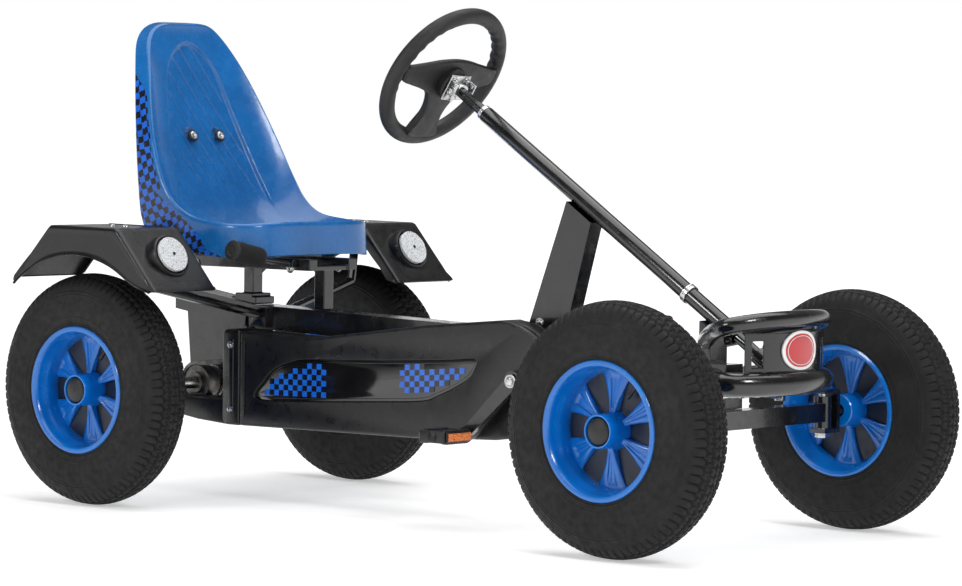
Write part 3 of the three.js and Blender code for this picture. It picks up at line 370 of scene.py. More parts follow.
def cut(obj, *cutters):
    """Takes the cutters out of the object and removes them."""
    for cutter in cutters:
        modifier = obj.modifiers.new("cut", "BOOLEAN")
        modifier.object = cutter
        modifier.operation = "DIFFERENCE"
        modifier.solver = "EXACT"
        settled(obj)
        bpy.data.objects.remove(cutter)
    shaded(obj.data, 30)
    return obj


def merged(name, parts):
    """Several objects as one, each with its own material."""
    work = bmesh.new()
    materials = []
    for part in parts:
        settled(part)
        for own in part.data.materials:
            if own not in materials:
                materials.append(own)
        start = len(work.faces)
        part.data.transform(part.matrix_world)
        work.from_mesh(part.data)
        work.faces.ensure_lookup_table()
        for face in work.faces[start:]:
            face.material_index = materials.index(part.data.materials[face.material_index])
    mesh = bpy.data.meshes.new(name)
    work.to_mesh(mesh)
    work.free()
    for own in materials:
        mesh.materials.append(own)
    shaded(mesh, 32)
    for part in parts:
        bpy.data.objects.remove(part)
    return placed(name, mesh)


def fit(obj, body, slot, *nodes):
    """Rides an object on a body and hides the CAD nodes that it stands for; its slot is not used."""
    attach(obj, body)
    if nodes:
        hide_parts(*nodes)
    return obj


def stand(node, parts):
    """Merges parts into one piece that stands for a CAD node, on its body."""
    return fit(merged(node + "_shape", parts), NODE_BODY[node], NODE_SLOT[node], node)


def centre(node):
    low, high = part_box(node)
    return (low + high) / 2


def polish(node, bevel, segments=2):
    """Stands a rounded copy of a CAD node in its place."""
    mesh = frame["nodes"][node].data.copy()
    work = bmesh.new()
    work.from_mesh(mesh)
    bmesh.ops.remove_doubles(work, verts=work.verts, dist=0.00005)
    bmesh.ops.dissolve_limit(work, angle_limit=math.radians(2), verts=work.verts, edges=work.edges)
    bmesh.ops.recalc_face_normals(work, faces=work.faces)
    work.to_mesh(mesh)
    work.free()
    slot = NODE_SLOT[node]
    mesh.materials.clear()
    mesh.materials.append(SLOT_FINISH[slot])
    shaded(mesh, 32)
    return fit(softened(placed(node + "_shape", mesh), bevel, segments), NODE_BODY[node], slot, node)


def hex_bolt(name, place, axis, radius, height):
    """A hexagon head with a domed top on a round washer."""
    u, v, w = basis(axis)
    place = np.array(place, float)
    round_edge = [(0, 0), (radius * 1.45, 0), (radius * 1.5, 0.0006), (radius * 1.45, 0.0014), (0, 0.0014)]
    washer = lathe(name + "_washer", round_edge, place, w, ZINC, 28)
    rings = [(1.0, 0.001), (1.0, height * 0.8), (0.86, height), (0.0, height * 1.04)]
    turn = np.linspace(0, 2 * np.pi, 6, endpoint=False)
    corners = np.cos(turn)[:, None] * u + np.sin(turn)[:, None] * v
    points = np.array([[place + s * radius * c + h * w for c in corners] for s, h in rings])
    head = grid(name + "_head", points, ZINC, False, True, True, 20)
    return [washer, softened(head, radius * 0.06, 2, 20)]


# ---- wheels -------------------------------------------------------------------------------------------
TYRE_RADIUS = (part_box("tyre_rear_right")[1].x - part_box("tyre_rear_right")[0].x) / 2
SECTION = [(104, 40.3), (110, 43), (118, 45), (130, 46.6), (146, 47), (161, 45.6), (174, 42), (184, 37), (191, 30)]
CROWN = [(195.5, 20), (198, 10), (199, 0)]
PITCHES = 84  # tread blocks round the tyre
STEPS = 6 * PITCHES


def smooth_step(low, high, x):
    t = np.clip((x - low) / (high - low), 0, 1)
    return t * t * (3 - 2 * t)


def tread_depth(across, turn):
    """How deep the tread is cut, in millimetres, at a distance from the middle and an angle."""
    phase = turn * PITCHES / (2 * np.pi)
    zigzag = 2.6 * (2 * np.abs((phase % 1) - 0.5) - 0.5) * 2
    away = np.abs(across)
    depth = np.zeros(np.broadcast(across, turn).shape)
    for row, width in ((0, 1.5), (11.5, 1.7), (23, 1.9)):
        depth = np.maximum(depth, 3.6 * (1 - smooth_step(width * 0.6, width * 1.5, np.abs(away - row + zigzag))))
    stagger = np.where(away < 11.5, 0.0, 0.5)
    slit = np.abs(((phase + stagger) % 1) - 0.5)
    inner = (away < 22) * 2.4 * (1 - smooth_step(0.03, 0.13, slit))
    lug = np.abs((phase % 1) - 0.5)
    outer = (away > 25) * 3.4 * (1 - smooth_step(0.04, 0.13, lug)) * (1 - smooth_step(36, 41, away))
    return np.maximum(depth, np.maximum(inner, outer)) * (1 - smooth_step(42, 44, away))


def tyre_mesh(side):
    """One tyre about the origin: two rings moulded low on each sidewall, zigzag blocks and shoulder lugs."""
    half = curve_through(SECTION, 84)[:-1]
    crown = curve_through([SECTION[-2], SECTION[-1], *CROWN, (198, -10), (195.5, -20), (191, -30), (184, -37)], 64)
    low_side = [(r, -y) for r, y in half[::-1] if r < 183]
    arc = np.array([*[(r, y) for r, y in half if r < 183], *crown, *low_side, (101, -36), (99, 0), (101, 36)])
    radius, across = arc[:, 0], arc[:, 1]
    rings = ((110, 1.6), (114, 1.2), (124, 0.7), (163, 0.9), (168, 0.9))
    ring = sum(h * np.exp(-(((radius - r) / 0.9) ** 2)) for r, h in rings)
    across = across + np.sign(across) * ring
    turn = np.linspace(0, 2 * np.pi, STEPS, endpoint=False)
    cut_by = tread_depth(across[:, None], turn[None, :]) * (radius > 172)[:, None]
    lean = smooth_step(172, 196, radius)[:, None]
    r = (radius[:, None] - cut_by * (0.35 + 0.65 * lean)) * MM
    y = (across[:, None] - np.sign(across)[:, None] * cut_by * 0.75 * (1 - lean)) * MM
    r = np.minimum(r, TYRE_RADIUS)
    points = np.stack([r * np.cos(turn), side * (y + 0 * r), r * np.sin(turn)], -1)
    return grid("tyre_pattern", points, RUBBER, True, True, angle=50)


DISC_TOP, DISC_BOTTOM = 14, 6  # level of the spokes' faces at the hub and at the barrel
BARREL = [
    (101.3, 40.2), (108.2, 41.9), (109.2, 43.8), (108.2, 45.6), (104.5, 46.4), (100.5, 45.2), (98.2, 42),
    (97, 37), (95.6, 30), (92.6, 25.5), (90.6, 20), (89.6, 8), (89.2, -8), (90.6, -24), (95, -30), (97.5, -40),
    (100.5, -45), (105, -46.2), (108.6, -45), (109, -43), (107.5, -41.8), (101.3, -40.2), (97, -27), (93.2, -14),
    (93.2, 14), (97, 27),
]
HUB = [
    (10.8, -40), (25, -40), (26.5, -38), (27.5, -10), (30, -4), (30.5, 8), (27.8, 14), (27, 30), (26.6, 44.4),
    (25.8, 46), (23.6, 46), (22.8, 44.6), (22.6, 34), (10.8, 34),
]


WEB = [(24, -1.6), (60, -2.4), (93, -1.6), (93, 1.6), (60, 0.8), (24, 1.6)]


def spoke(number, side, face):
    """Half of a flared spoke, on one face of the web, with rounded edges and a panel sunk along its middle."""
    s = np.concatenate([np.linspace(-1, 1, 25), np.linspace(1, -1, 25)])
    outer = np.concatenate([np.ones(25), np.zeros(25)])
    rows = []
    for t in np.linspace(0, 1, 22):
        radius = 26 + 65 * t
        half = math.radians(11 + 6.5 * t**1.4)
        top = DISC_TOP + (DISC_BOTTOM - DISC_TOP) * t**0.8 if face > 0 else 9.5 + 1.5 * t
        sunk = 2.6 * (1 - smooth_step(0.3, 0.46, np.abs(s)))
        sunk *= smooth_step(0.08, 0.2, t) * (1 - smooth_step(0.84, 0.93, t))
        ridge = 0.8 * np.exp(-((s / 0.07) ** 2)) * (sunk > 1)
        front = top - sunk + ridge - 3.2 * np.abs(s) ** 7
        y = face * np.where(outer > 0, front, -0.5)
        angle = math.radians(60 * number) + s * half
        rows.append(np.stack([radius * np.cos(angle), side * y, radius * np.sin(angle)], -1))
    return grid("spoke", np.array(rows) * MM, RIM_BLUE, False, True, True, 60)


def rim_mesh(side):
    axis = (0, side, 0)
    barrel = lathe("barrel", metres(BARREL), (0, 0, 0), axis, RIM_BLUE, 120, True, 50)
    hub = lathe("hub", metres(HUB), (0, 0, 0), axis, RIM_BLUE, 64, True, 40)
    # The web is a real wall between the spokes; its near-black blue is painted shade in the pockets.
    web = lathe("web", metres(WEB), (0, 0, 0), axis, RIM_PAINTED_SHADE, 96, True, 40)
    spokes = [spoke(k, side, face) for k in range(6) for face in (1, -1)]
    return merged("rim_form", [barrel, hub, web, *spokes])


def cap_mesh(side):
    profile = [(0, 49.5), (9, 49.1), (16, 47.6), (20.4, 45), (21.8, 42.4), (22, 36), (0, 36)]
    dome = lathe("dome", metres(profile), (0, 0, 0), (0, side, 0), PLASTIC, 48)
    nub = [(0, 0.0505), (0.0035, 0.0502), (0.0045, 0.049), (0, 0.0485)]
    pip = lathe("pip", nub, (0, 0, 0), (0, side, 0), PLASTIC, 24)
    return merged("cap_form", [dome, pip])


def valve_mesh(side):
    """Rubber valve stem with its cap, through the barrel in a window."""
    stem = [(0, 0), (5.5, 0), (5, 3), (3.4, 8), (3.2, 20), (3.7, 20.5), (3.7, 29), (2.6, 30), (0, 30)]
    tilt = (-math.cos(math.radians(30)), side * 0.35, -math.sin(math.radians(30)))
    place = (0.088 * math.cos(math.radians(30)), side * 0.004, 0.088 * math.sin(math.radians(30)))
    return lathe("valve_form", metres(stem), place, tilt, PLASTIC, 24)


def wheels():
    """The four wheels share one set of forms for each side, turned to show different spokes."""
    for side_name, side in SIDES.items():
        forms = {
            "tyre": (tyre_mesh(side), "tyre_rubber"),
            "rim": (rim_mesh(side), "blue_plastic"),
            "hub_cap": (cap_mesh(side), "black_plastic"),
            "valve": (valve_mesh(side), "black_plastic"),
        }
        for axle, phase in (("front", 28), ("rear", 32)):
            node = f"{axle}_{side_name}"
            for form, (source, slot) in forms.items():
                obj = placed(f"{form}_{node}_shape", source.data)
                obj.matrix_world = Matrix.Translation(centre("tyre_" + node)) @ Matrix.Rotation(
                    math.radians(-phase), 4, "Y"
                )
                nodes = [] if form == "valve" else [f"{form}_{node}"]
                fit(obj, NODE_BODY["tyre_" + node], slot, *nodes)
        for source, _ in forms.values():
            bpy.data.objects.remove(source)


wheels()


# ---- steering column and wheel ------------------------------------------------------------------------
STEERING = next(j for j in frame["record"]["behaviour"]["joints"] if j["name"] == "steering")
COLUMN_TOP = np.array(STEERING["pos_m"])
DOWN = np.array(STEERING["axis"])
DOWN /= np.linalg.norm(DOWN)
ACROSS = np.array((0, 1.0, 0))
UP = np.cross(DOWN, ACROSS)
UP *= np.sign(UP[2])


def on_column(down, up=0.0, across=0.0):
    """A point by its distance down the column from its top, square above it and to the left, in millimetres."""
    return COLUMN_TOP + (down * DOWN + up * UP + across * ACROSS) * MM


def turned_part(name, profile, material, node, steps=48):
    """A lathed part of the column; the profile's lengths run down the column in millimetres."""
    obj = lathe(name, metres(profile), COLUMN_TOP, DOWN, material, steps, profile[0][0] > 0)
    return fit(obj, NODE_BODY[node], NODE_SLOT[node], node)


def column():
    shaft = [(0, -1), (8.6, -1), (9.5, 0), (9.5, 764), (8, 765), (0, 765)]
    turned_part("shaft_shape", shaft, PAINT, "steering_shaft")
    tube = [(12, 65), (13.4, 65), (14, 66), (14, 575.5), (13.2, 576.6), (12, 576.6)]
    turned_part("column_tube_shape", tube, PAINT, "column_tube", 64)
    bush = [(10.2, 56.5), (12.2, 56.5), (13, 57.4), (13, 63.8), (12, 64.4), (10.2, 64.4)]
    turned_part("column_top_bush_shape", bush, ZINC, "column_top_bush")
    collar = [(10.2, 577.6), (15.8, 577.6), (16.5, 578.4), (16.5, 581), (15.6, 581.8), (15.6, 583.4)]
    collar += [(16.5, 584.2), (16.5, 587), (15.8, 587.8), (10.2, 587.8)]
    turned_part("column_collar_shape", collar, ZINC, "column_collar")


column()
RING_RADIUS, RING_SECTION, RING_RISE = 121, 13.3, 51


def steering_ring():
    """The rim, with finger grips moulded on the inside at both sides."""
    turn = np.linspace(0, 2 * np.pi, 288, endpoint=False)
    around = np.linspace(0, 2 * np.pi, 36, endpoint=False)
    side_ness = np.clip((np.abs(np.cos(turn)) - 0.35) / 0.35, 0, 1) * (np.sin(turn) > -0.35)
    side_ness *= np.clip((np.sin(turn) + 0.35) / 0.2, 0, 1)
    wave = 0.5 + 0.5 * np.cos(turn * 34)
    inward = np.clip(-np.cos(around), 0, 1)
    r = RING_SECTION - 2.6 * (side_ness * (1 - wave))[:, None] * inward[None, :]
    out = RING_RADIUS + r * np.cos(around)
    points = (
        on_column(-RING_RISE)
        + MM * (out * np.cos(turn)[:, None])[..., None] * ACROSS
        + MM * (out * np.sin(turn)[:, None])[..., None] * UP
        - MM * (r * np.sin(around))[..., None] * DOWN
    )
    return grid("ring", points, GRIP, True, True)


def steering_spokes():
    """Cross bar with two wings and a broad lower spoke, as one smooth moulding, domed towards the driver."""
    right = [(112, 22), (96, 25), (66, 31), (34, 38), (0, 41)]
    under = [(-112, -2), (-96, -8), (-66, -15), (-42, -24), (-29, -44), (-24, -66), (-27, -92), (-32, -113)]
    outline = np.array([*right, *[(-x, y) for x, y in right[-2::-1]], *under, *[(-x, y) for x, y in under[::-1]]])
    outline = curve_through(outline, 132, closed=True)
    inner = outline.mean(0)
    rows = []
    levels = ((0.90, 36), (0.97, 37), (1, 39.5), (1, 45.5), (0.965, 48.6), (0.90, 49.8), (0.7, 50.4), (0.4, 50.8))
    for scale, rise in levels:
        shrink = (1 - scale) * 60
        away = outline - inner
        far = np.linalg.norm(away, axis=1)[:, None]
        ring = outline - away / far * np.minimum(shrink, far * 0.9)
        hollow = 5 * np.exp(-((np.linalg.norm(ring, axis=1) / 70) ** 2))
        rows.append([on_column(-(rise - h), up, across) for (across, up), h in zip(ring, hollow)])
    return grid("spokes", np.array(rows), GRIP, False, True, True, 50)


def steering_wheel():
    spokes = steering_spokes()
    boss = [(0, 55), (14, 54.6), (23, 52.6), (27, 48), (29.5, 40), (30, 22), (27, 19.4), (0, 19.4)]
    hub = lathe("hub", [(r * MM, -h * MM) for r, h in boss], COLUMN_TOP, DOWN, GRIP, 64)
    ridge = [(24.6, 51.6), (25.6, 52.4), (26.6, 51)]
    band = lathe("band", [(r * MM, -h * MM) for r, h in ridge], COLUMN_TOP, DOWN, GRIP, 64, True)
    stand("steering_wheel", [steering_ring(), spokes, hub, band])


steering_wheel()


def square_to_column(name, half, top, bottom, material, bevel, centre_at=(0, 0)):
    """A block square to the column, by its half size and its levels above the column's top."""
    cu, ca = centre_at
    corners = [(-half[0], -half[1]), (half[0], -half[1]), (half[0], half[1]), (-half[0], half[1])]
    rows = [[on_column(-level, cu + u, ca + a) for u, a in corners] for level in (bottom, top)]
    return softened(grid(name, np.array(rows), material, False, True, True, 30), bevel)


def hub_clamp():
    """Square plated bracket under the wheel's hub, folded down at two sides, with its nuts and cross bolt."""
    parts = [square_to_column("clamp_plate", (24, 24), 18.5, 14.5, ZINC, 0.0012)]
    for across in (-22, 22):
        parts.append(square_to_column("clamp_ear", (17, 2), 15, -4, ZINC, 0.0008, (0, across)))
    boss = [(0, 0), (0.0125, 0), (0.0135, 0.001), (0.0135, 0.014), (0, 0.014)]
    parts.append(lathe("clamp_boss", boss, on_column(-15), DOWN, ZINC, 40))
    for up in (-15, 15):
        for across in (-15, 15):
            parts += hex_bolt("clamp_nut", on_column(-14.5, up, across), DOWN, 0.0055, 0.006)
    parts += hex_bolt("clamp_bolt", on_column(-5, 0, -24), -ACROSS, 0.0058, 0.006)
    stand("wheel_hub_clamp", parts)


hub_clamp()


# ---- seat ---------------------------------------------------------------------------------------------
# Down the seat: the fold at the side and the hem of the skirt as x and z, half the width,
# and how far the middle sinks.
SEAT = np.array([
    [-685, 832, -706, 829, 103, 3],
    [-680, 815, -706, 812, 106, 8],
    [-654, 760, -686, 762, 118, 16],
    [-623, 680, -657, 677, 142, 22],
    [-598, 620, -638, 612, 157, 26],
    [-569, 560, -623, 546, 166, 32],
    [-539, 520, -612, 486, 167, 44],
    [-496, 497, -575, 440, 166, 42],
    [-436, 491, -452, 433, 175, 28],
    [-386, 490, -388, 431, 178, 18],
    [-356, 488, -356, 430, 176, 5],
], float)
SEAT_ROWS, SEAT_COLUMNS = 240, 200
SEAT_WALL = 4.0
BOLT_HEIGHT, BOLT_ASIDE = 638, 34


def seat_line(down):
    """Rim, hem, half width and sink at shares of the way down the seat."""
    fine = curve_through(SEAT, 1001)
    length = np.concatenate([[0], np.cumsum(np.hypot(*np.diff(fine[:, :2], axis=0).T))])
    return np.stack([np.interp(down * length[-1], length, fine[:, k]) for k in range(6)], -1)


def panel_half(z):
    """Half the width of the sunk panel at a height: round at the top, widening down to the pan."""
    grow = np.clip((795 - z) / 300, 0, 1)
    rounded = np.sqrt(np.clip(1 - (1 - np.clip((800 - z) / 62, 0, 1)) ** 2, 0, 1))
    return rounded * (50 + 72 * grow**0.9)


def seat_surface():
    """Rows of points over the seat's upper face, squared off at the corners like a rounded sheet."""
    a = np.linspace(-1, 1, SEAT_ROWS)[:, None]
    b = np.linspace(-1, 1, SEAT_COLUMNS)[None, :]
    pull = np.maximum(np.abs(a), np.abs(b)) / np.maximum((np.abs(a) ** 5 + np.abs(b) ** 5) ** 0.2, 1e-9)
    p, q = a * pull, b * pull
    down = (p + 1) / 2
    line = seat_line(down.reshape(-1)).reshape(*down.shape, 6)
    ahead = seat_line(np.clip(down + 0.004, 0, 1).reshape(-1)).reshape(*down.shape, 6)
    back = seat_line(np.clip(down - 0.004, 0, 1).reshape(-1)).reshape(*down.shape, 6)
    slope = (ahead - back)[..., :2]
    slope /= np.linalg.norm(slope, axis=-1)[..., None]
    across = q * line[..., 4]
    share = np.clip(np.abs(q), 0, 1)
    sink = line[..., 5] * (1 - share**4) * (1 - np.clip(np.abs(p), 0, 1) ** 8)
    x = line[..., 0] + slope[..., 1] * sink
    z = line[..., 1] - slope[..., 0] * sink
    return np.stack([x, across, z], -1), slope, p


def seat_shape():
    top, slope, p = seat_surface()
    y, z = top[..., 1], top[..., 2]
    inside = panel_half(z) - np.abs(y)
    sunk = smooth_step(-1, 5, inside) * (1 - smooth_step(0.1, 0.34, p))
    ribs = (z + 1.79 * y - 30) / 54
    groove = np.exp(-((((ribs % 1) - 0.5) / 0.085) ** 2)) * smooth_step(7, 16, inside)
    groove *= 1 - smooth_step(0.02, 0.24, p)
    dish = np.zeros_like(z)
    for aside in (-BOLT_ASIDE, BOLT_ASIDE):
        near = np.hypot(y - aside, (z - BOLT_HEIGHT) * 1.06)
        dish = np.maximum(dish, 5.5 * (1 - smooth_step(9, 12.5, near)))
    depth = 5.0 * sunk + 2.4 * groove + dish
    top[..., 0] += slope[..., 1] * depth
    top[..., 2] -= slope[..., 0] * depth
    return top


def seat_skirt(top):
    """The loop round the seat's edge, folded over and dropped to the hem, as rings from the edge outwards."""
    edge = [(0, j) for j in range(SEAT_COLUMNS)] + [(i, SEAT_COLUMNS - 1) for i in range(1, SEAT_ROWS)]
    edge += [(SEAT_ROWS - 1, j) for j in range(SEAT_COLUMNS - 2, -1, -1)]
    edge += [(i, 0) for i in range(SEAT_ROWS - 2, 0, -1)]
    rows, columns = np.array(edge).T
    rim = top[rows, columns]
    fine = seat_line(np.linspace(0, 1, 1001))
    gap = np.abs(rim[:, None, 0] - fine[None, :, 0]) + np.abs(rim[:, None, 2] - fine[None, :, 1])
    near = np.argmin(gap, axis=1)
    drop = (fine[:, 2:4] - fine[:, :2])[near]
    for _ in range(12):
        drop = (np.roll(drop, 1, 0) + 2 * drop + np.roll(drop, -1, 0)) / 4
    flat = rim[:, 1]
    tangent = np.roll(rim, -2, 0) - np.roll(rim, 2, 0)
    tangent /= np.linalg.norm(tangent, axis=1)[:, None]
    fall = np.stack([drop[:, 0], 0 * flat, drop[:, 1]], -1)
    fall_way = fall / np.linalg.norm(fall, axis=1)[:, None]
    out = np.cross(tangent, fall_way)
    out /= np.linalg.norm(out, axis=1)[:, None]
    middle = rim.mean(0)
    out *= np.sign((out * (rim - middle)).sum(1))[:, None]
    rings = []
    bend = 9.0
    for angle in np.linspace(0, 90, 7)[1:]:
        a = math.radians(angle)
        rings.append(rim + out * bend * (math.sin(a) - 0.2) * 0.6 + fall_way * bend * (1 - math.cos(a)))
    last = rings[-1]
    length = np.linalg.norm(fall, axis=1)[:, None]
    for t in np.linspace(0, 1, 26)[1:]:
        rings.append(last + fall_way * (length - bend) * t + out * 3 * t)
    return edge, np.array(rings)


def seat():
    """The moulded seat: a dished sheet with a sunk ribbed panel, folded over into a skirt, all one wall thick."""
    top = seat_shape()
    edge, rings = seat_skirt(top)
    count = SEAT_ROWS * SEAT_COLUMNS
    ring = len(edge)
    points = np.concatenate([top.reshape(-1, 3), rings.reshape(-1, 3)]) * MM
    faces = grid_faces(SEAT_ROWS, SEAT_COLUMNS)
    first = [i * SEAT_COLUMNS + j for i, j in edge]
    loops = [first] + [[count + r * ring + k for k in range(ring)] for r in range(len(rings))]
    for upper, lower in zip(loops, loops[1:]):
        faces += [[upper[k], lower[k], lower[(k + 1) % ring], upper[(k + 1) % ring]] for k in range(ring)]
    shell = make("seat_shell_shape", points, faces, SEAT_BLUE)
    for film in (FILM_BLUE, FILM_DARK):
        shell.data.materials.append(film)
    if shell.data.polygons[SEAT_ROWS * SEAT_COLUMNS // 3].normal.z < 0:
        shell.data.flip_normals()
    film_faces(shell)
    modifier = shell.modifiers.new("wall", "SOLIDIFY")
    modifier.thickness = SEAT_WALL * MM
    modifier.offset = -1
    fit(settled(shell), "seat", "seat_blue", "seat_shell")


def film_faces(shell):
    """Lays the plain checker film on both side skirts: a band that follows the rear edge and ends in a point."""
    square = 13.0
    sheet = (SEAT_ROWS - 1) * (SEAT_COLUMNS - 1)
    for face in shell.data.polygons[sheet:]:
        x, y, z = (v / MM for v in face.center)
        if abs(face.normal.y) < 0.45 or abs(y) < 100:
            continue
        rim_x = np.interp(z, SEAT[::-1, 1][1:], SEAT[::-1, 0][1:]) if z > 500 else -430
        hem_x = np.interp(z, SEAT[::-1, 3][1:], SEAT[::-1, 2][1:])
        share = (x - hem_x) / max(rim_x - hem_x, 1)
        top_edge = 742 - 40 * share
        if z > top_edge or x > -430 - (z - 434) * 1.5 and z < 540 or share > 0.80:
            continue
        along, aside = (z + 0.42 * x) / square, (x - 0.42 * z) / square
        lean_a, lean_b = (along + aside) * 0.72, (along - aside) * 0.72
        face.material_index = 1 + (math.floor(lean_a) + math.floor(lean_b)) % 2


seat()


def seat_bolts():
    for name, side in SIDES.items():
        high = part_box(f"seat_bolt_{name}")[1]
        axis = np.array((0.932, 0, 0.362))
        face = np.array((high.x, side * BOLT_ASIDE * MM, high.z)) - axis * 0.002
        face[2] = BOLT_HEIGHT * MM
        face -= axis * 0.010
        head = [(0, -0.012), (0.0078, -0.012), (0.0082, 0.001), (0.0082, 0.0012), (0.0072, 0.0028)]
        head += [(0.0045, 0.0036), (0.0033, 0.0036), (0.0030, 0.0008), (0, 0.0008)]
        ring = [(0, -0.003), (0.0112, -0.003), (0.0116, -0.001), (0.0108, 0.0004), (0.0088, 0.0006), (0, 0.0006)]
        parts = [lathe("head", head, face, axis, ZINC, 40), lathe("ring", ring, face, axis, PLASTIC, 40)]
        tail = [(0, 0), (0.004, 0), (0.004, 0.03), (0, 0.03)]
        parts.append(lathe("tail", tail, face - axis * 0.04, axis, ZINC, 24))
        parts += hex_bolt("nut", face - axis * 0.040, -axis, 0.0065, 0.006)
        stand(f"seat_bolt_{name}", parts)


seat_bolts()


# ---- chain guard --------------------------------------------------------------------------------------
GUARD_INNER, GUARD_STEP, GUARD_OUTER, SEAM = -60, -99, -110, -435
GUARD_TOP = [(222, 325), (200, 334), (180, 340), (158, 342), (-5, 327), (-150, 308), (-267, 293), (SEAM, 298)]
GUARD_EDGE = [(SEAM, 132), (-35, 136), (140, 143), (178, 148), (212, 152), (238, 160), (261, 177), (277, 200)]
GUARD_EDGE += [(284, 226), (285, 251), (280, 276), (268, 295), (248, 312), *GUARD_TOP]
PANEL_EDGE = [(SEAM, 132), (-35, 136), (80, 140), (96, 142), (110, 151), (181, 226), (240, 290), (250, 302)]
PANEL_EDGE += [(244, 312), *GUARD_TOP]
LEAF = [(-393, 181), (-376, 214), (-350, 236), (-310, 250), (-270, 256), (-120, 262), (40, 271), (96, 276)]
LEAF += [(108, 272), (105, 262), (92, 244), (60, 226), (20, 209), (-15, 199), (-120, 192), (-260, 184)]


def shifted(points, far):
    """An outline grown (or, with a negative distance, shrunk) in millimetres."""
    p = np.array(points, float)
    before, after = np.roll(p, 1, 0), np.roll(p, -1, 0)
    turn = np.sign((p[:, 0] * after[:, 1] - after[:, 0] * p[:, 1]).sum())
    a, b = p - before, after - p
    a /= np.linalg.norm(a, axis=1)[:, None]
    b /= np.linalg.norm(b, axis=1)[:, None]
    normal = np.stack([a[:, 1] + b[:, 1], -a[:, 0] - b[:, 0]], -1) * turn
    size = 1 + (a * b).sum(1)
    return p + normal / np.maximum(size, 0.4)[:, None] * far


def within(point, outline):
    """Whether a point lies inside an outline."""
    x, z = point
    p = np.asarray(outline, float)
    after = np.roll(p, -1, 0)
    crosses = (p[:, 1] > z) != (after[:, 1] > z)
    at = p[:, 0] + (z - p[:, 1]) / np.where(crosses, after[:, 1] - p[:, 1], 1) * (after[:, 0] - p[:, 0])
    return (crosses & (at > x)).sum() % 2 == 1


def checker_patch(name, corner, columns, rows, size, lean, level):
    """Flat squares in two colours laid like a flag, with a slant, on the guard."""
    parts = []
    for i in range(columns):
        for j in range(rows):
            ragged = (i == columns - 1 or i == 0) and (i + j) % 2
            if ragged:
                continue
            x0, z0 = corner[0] + i * size * 1.15, corner[1] + j * size + i * lean
            quad = [(x0, z0), (x0 + size * 1.15, z0 + lean), (x0 + size * 1.15, z0 + size + lean), (x0, z0 + size)]
            if not all(within(point, FLAG_ROOM) for point in quad):
                continue
            tone = FILM_BLUE if (i + j) % 2 == 0 else FILM_DARK
            parts.append(plate(name, metres(quad), (level - 0.5) * MM, level * MM, tone))
    return parts


FLAG_ROOM = shifted(curve_through(LEAF, 120, closed=True), -6)


def moulded(name, outline, low, high, bevel, segments=3, material=GUARD):
    """A plate of the chain guard, in millimetres but for the bevel."""
    return plate(name, metres(outline), low * MM, high * MM, material, bevel=bevel, segments=segments)


def guard():
    """Blow-moulded cover: a base round the crank, a raised panel behind it and a leaf-shaped gloss recess."""
    base = moulded("guard_base", GUARD_EDGE, GUARD_STEP, GUARD_INNER, 0.005, 4)
    panel = moulded("guard_panel", shifted(PANEL_EDGE, -0.3), GUARD_OUTER, -90, 0.0055, 5)
    leaf = curve_through(LEAF, 120, closed=True)
    settled(panel)
    recess = moulded("recess", leaf, -120, GUARD_OUTER + 3.5, 0)
    cut(panel, recess)
    softened(panel, 0.0016, 3, 40)
    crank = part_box("chainring")
    middle = ((crank[0].x + crank[1].x) / 2, (crank[0].z + crank[1].z) / 2)
    hole = [(0, -0.14), (0.0195, -0.14), (0.0195, -0.04), (0, -0.04)]
    eye = lathe("eye", hole, (middle[0], 0, middle[1]), (0, 1, 0), GUARD, 48)
    settled(base)
    cut(base, eye)
    edge = [(0.0197, -0.0985), (0.0197, -0.1025), (0.021, -0.104), (0.0245, -0.104), (0.027, -0.1022)]
    edge += [(0.0285, -0.0985)]
    lip = lathe("lip", edge, (middle[0], 0, middle[1]), (0, 1, 0), GUARD, 64, True)
    inlay = moulded("inlay", shifted(leaf, -0.6), GUARD_OUTER + 2.6, GUARD_OUTER + 5, 0.0004, material=GLOSS)
    course = curve_through(shifted(LEAF, -5), 140, closed=True)
    ridge_path = [(x * MM, (GUARD_OUTER + 2.6) * MM, z * MM) for x, z in course]
    ridge = sweep("ridge", ridge_path, 0.0007, GLOSS, 8, True)
    level = GUARD_OUTER + 2.2
    squares = checker_patch("flag", (-396, 189), 15, 6, 9.6, 0.2, level)
    squares += checker_patch("flag", (-62, 200), 13, 6, 9.6, 0.9, level)
    rib_edge = [(-424, 150), (-421, 150), (-421, 282), (-424, 282)]
    rib = moulded("rib", rib_edge, -111.6, -109, 0.0008)
    stand("chain_guard", [base, panel, lip, inlay, ridge, *squares, rib])
    polish("chain_guard_back", 0.001)


guard()


def guard_tail():
    """Rear cover: an upright block behind the seam, with a rounded trough that runs back to the axle."""
    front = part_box("chain_guard_rear")[1].x / MM
    block_edge = [(front, 132), (front, 300), (-470, 299), (-477, 292), (-477, 140), (-470, 132)]
    body = moulded("tail_block", block_edge, GUARD_OUTER, GUARD_INNER, 0.005, 4)
    trough_edge = [(-470, 132), (-470, 178), (-600, 178), (-610, 172), (-611, 162), (-602, 152), (-576, 142)]
    trough = moulded("tail_trough", [*trough_edge, (-540, 137)], -108, GUARD_INNER, 0.005, 4)
    band = moulded("tail_band", [(-462, 150), (-448, 150), (-448, 284), (-462, 284)], -112, -106, 0.003)
    parts = [body, trough, band]
    for z in (160, 272):
        parts += hex_bolt("tail_bolt", ((-455) * MM, -0.1115, z * MM), (0, -1, 0), 0.0045, 0.004)
    stand("chain_guard_rear", parts)


guard_tail()


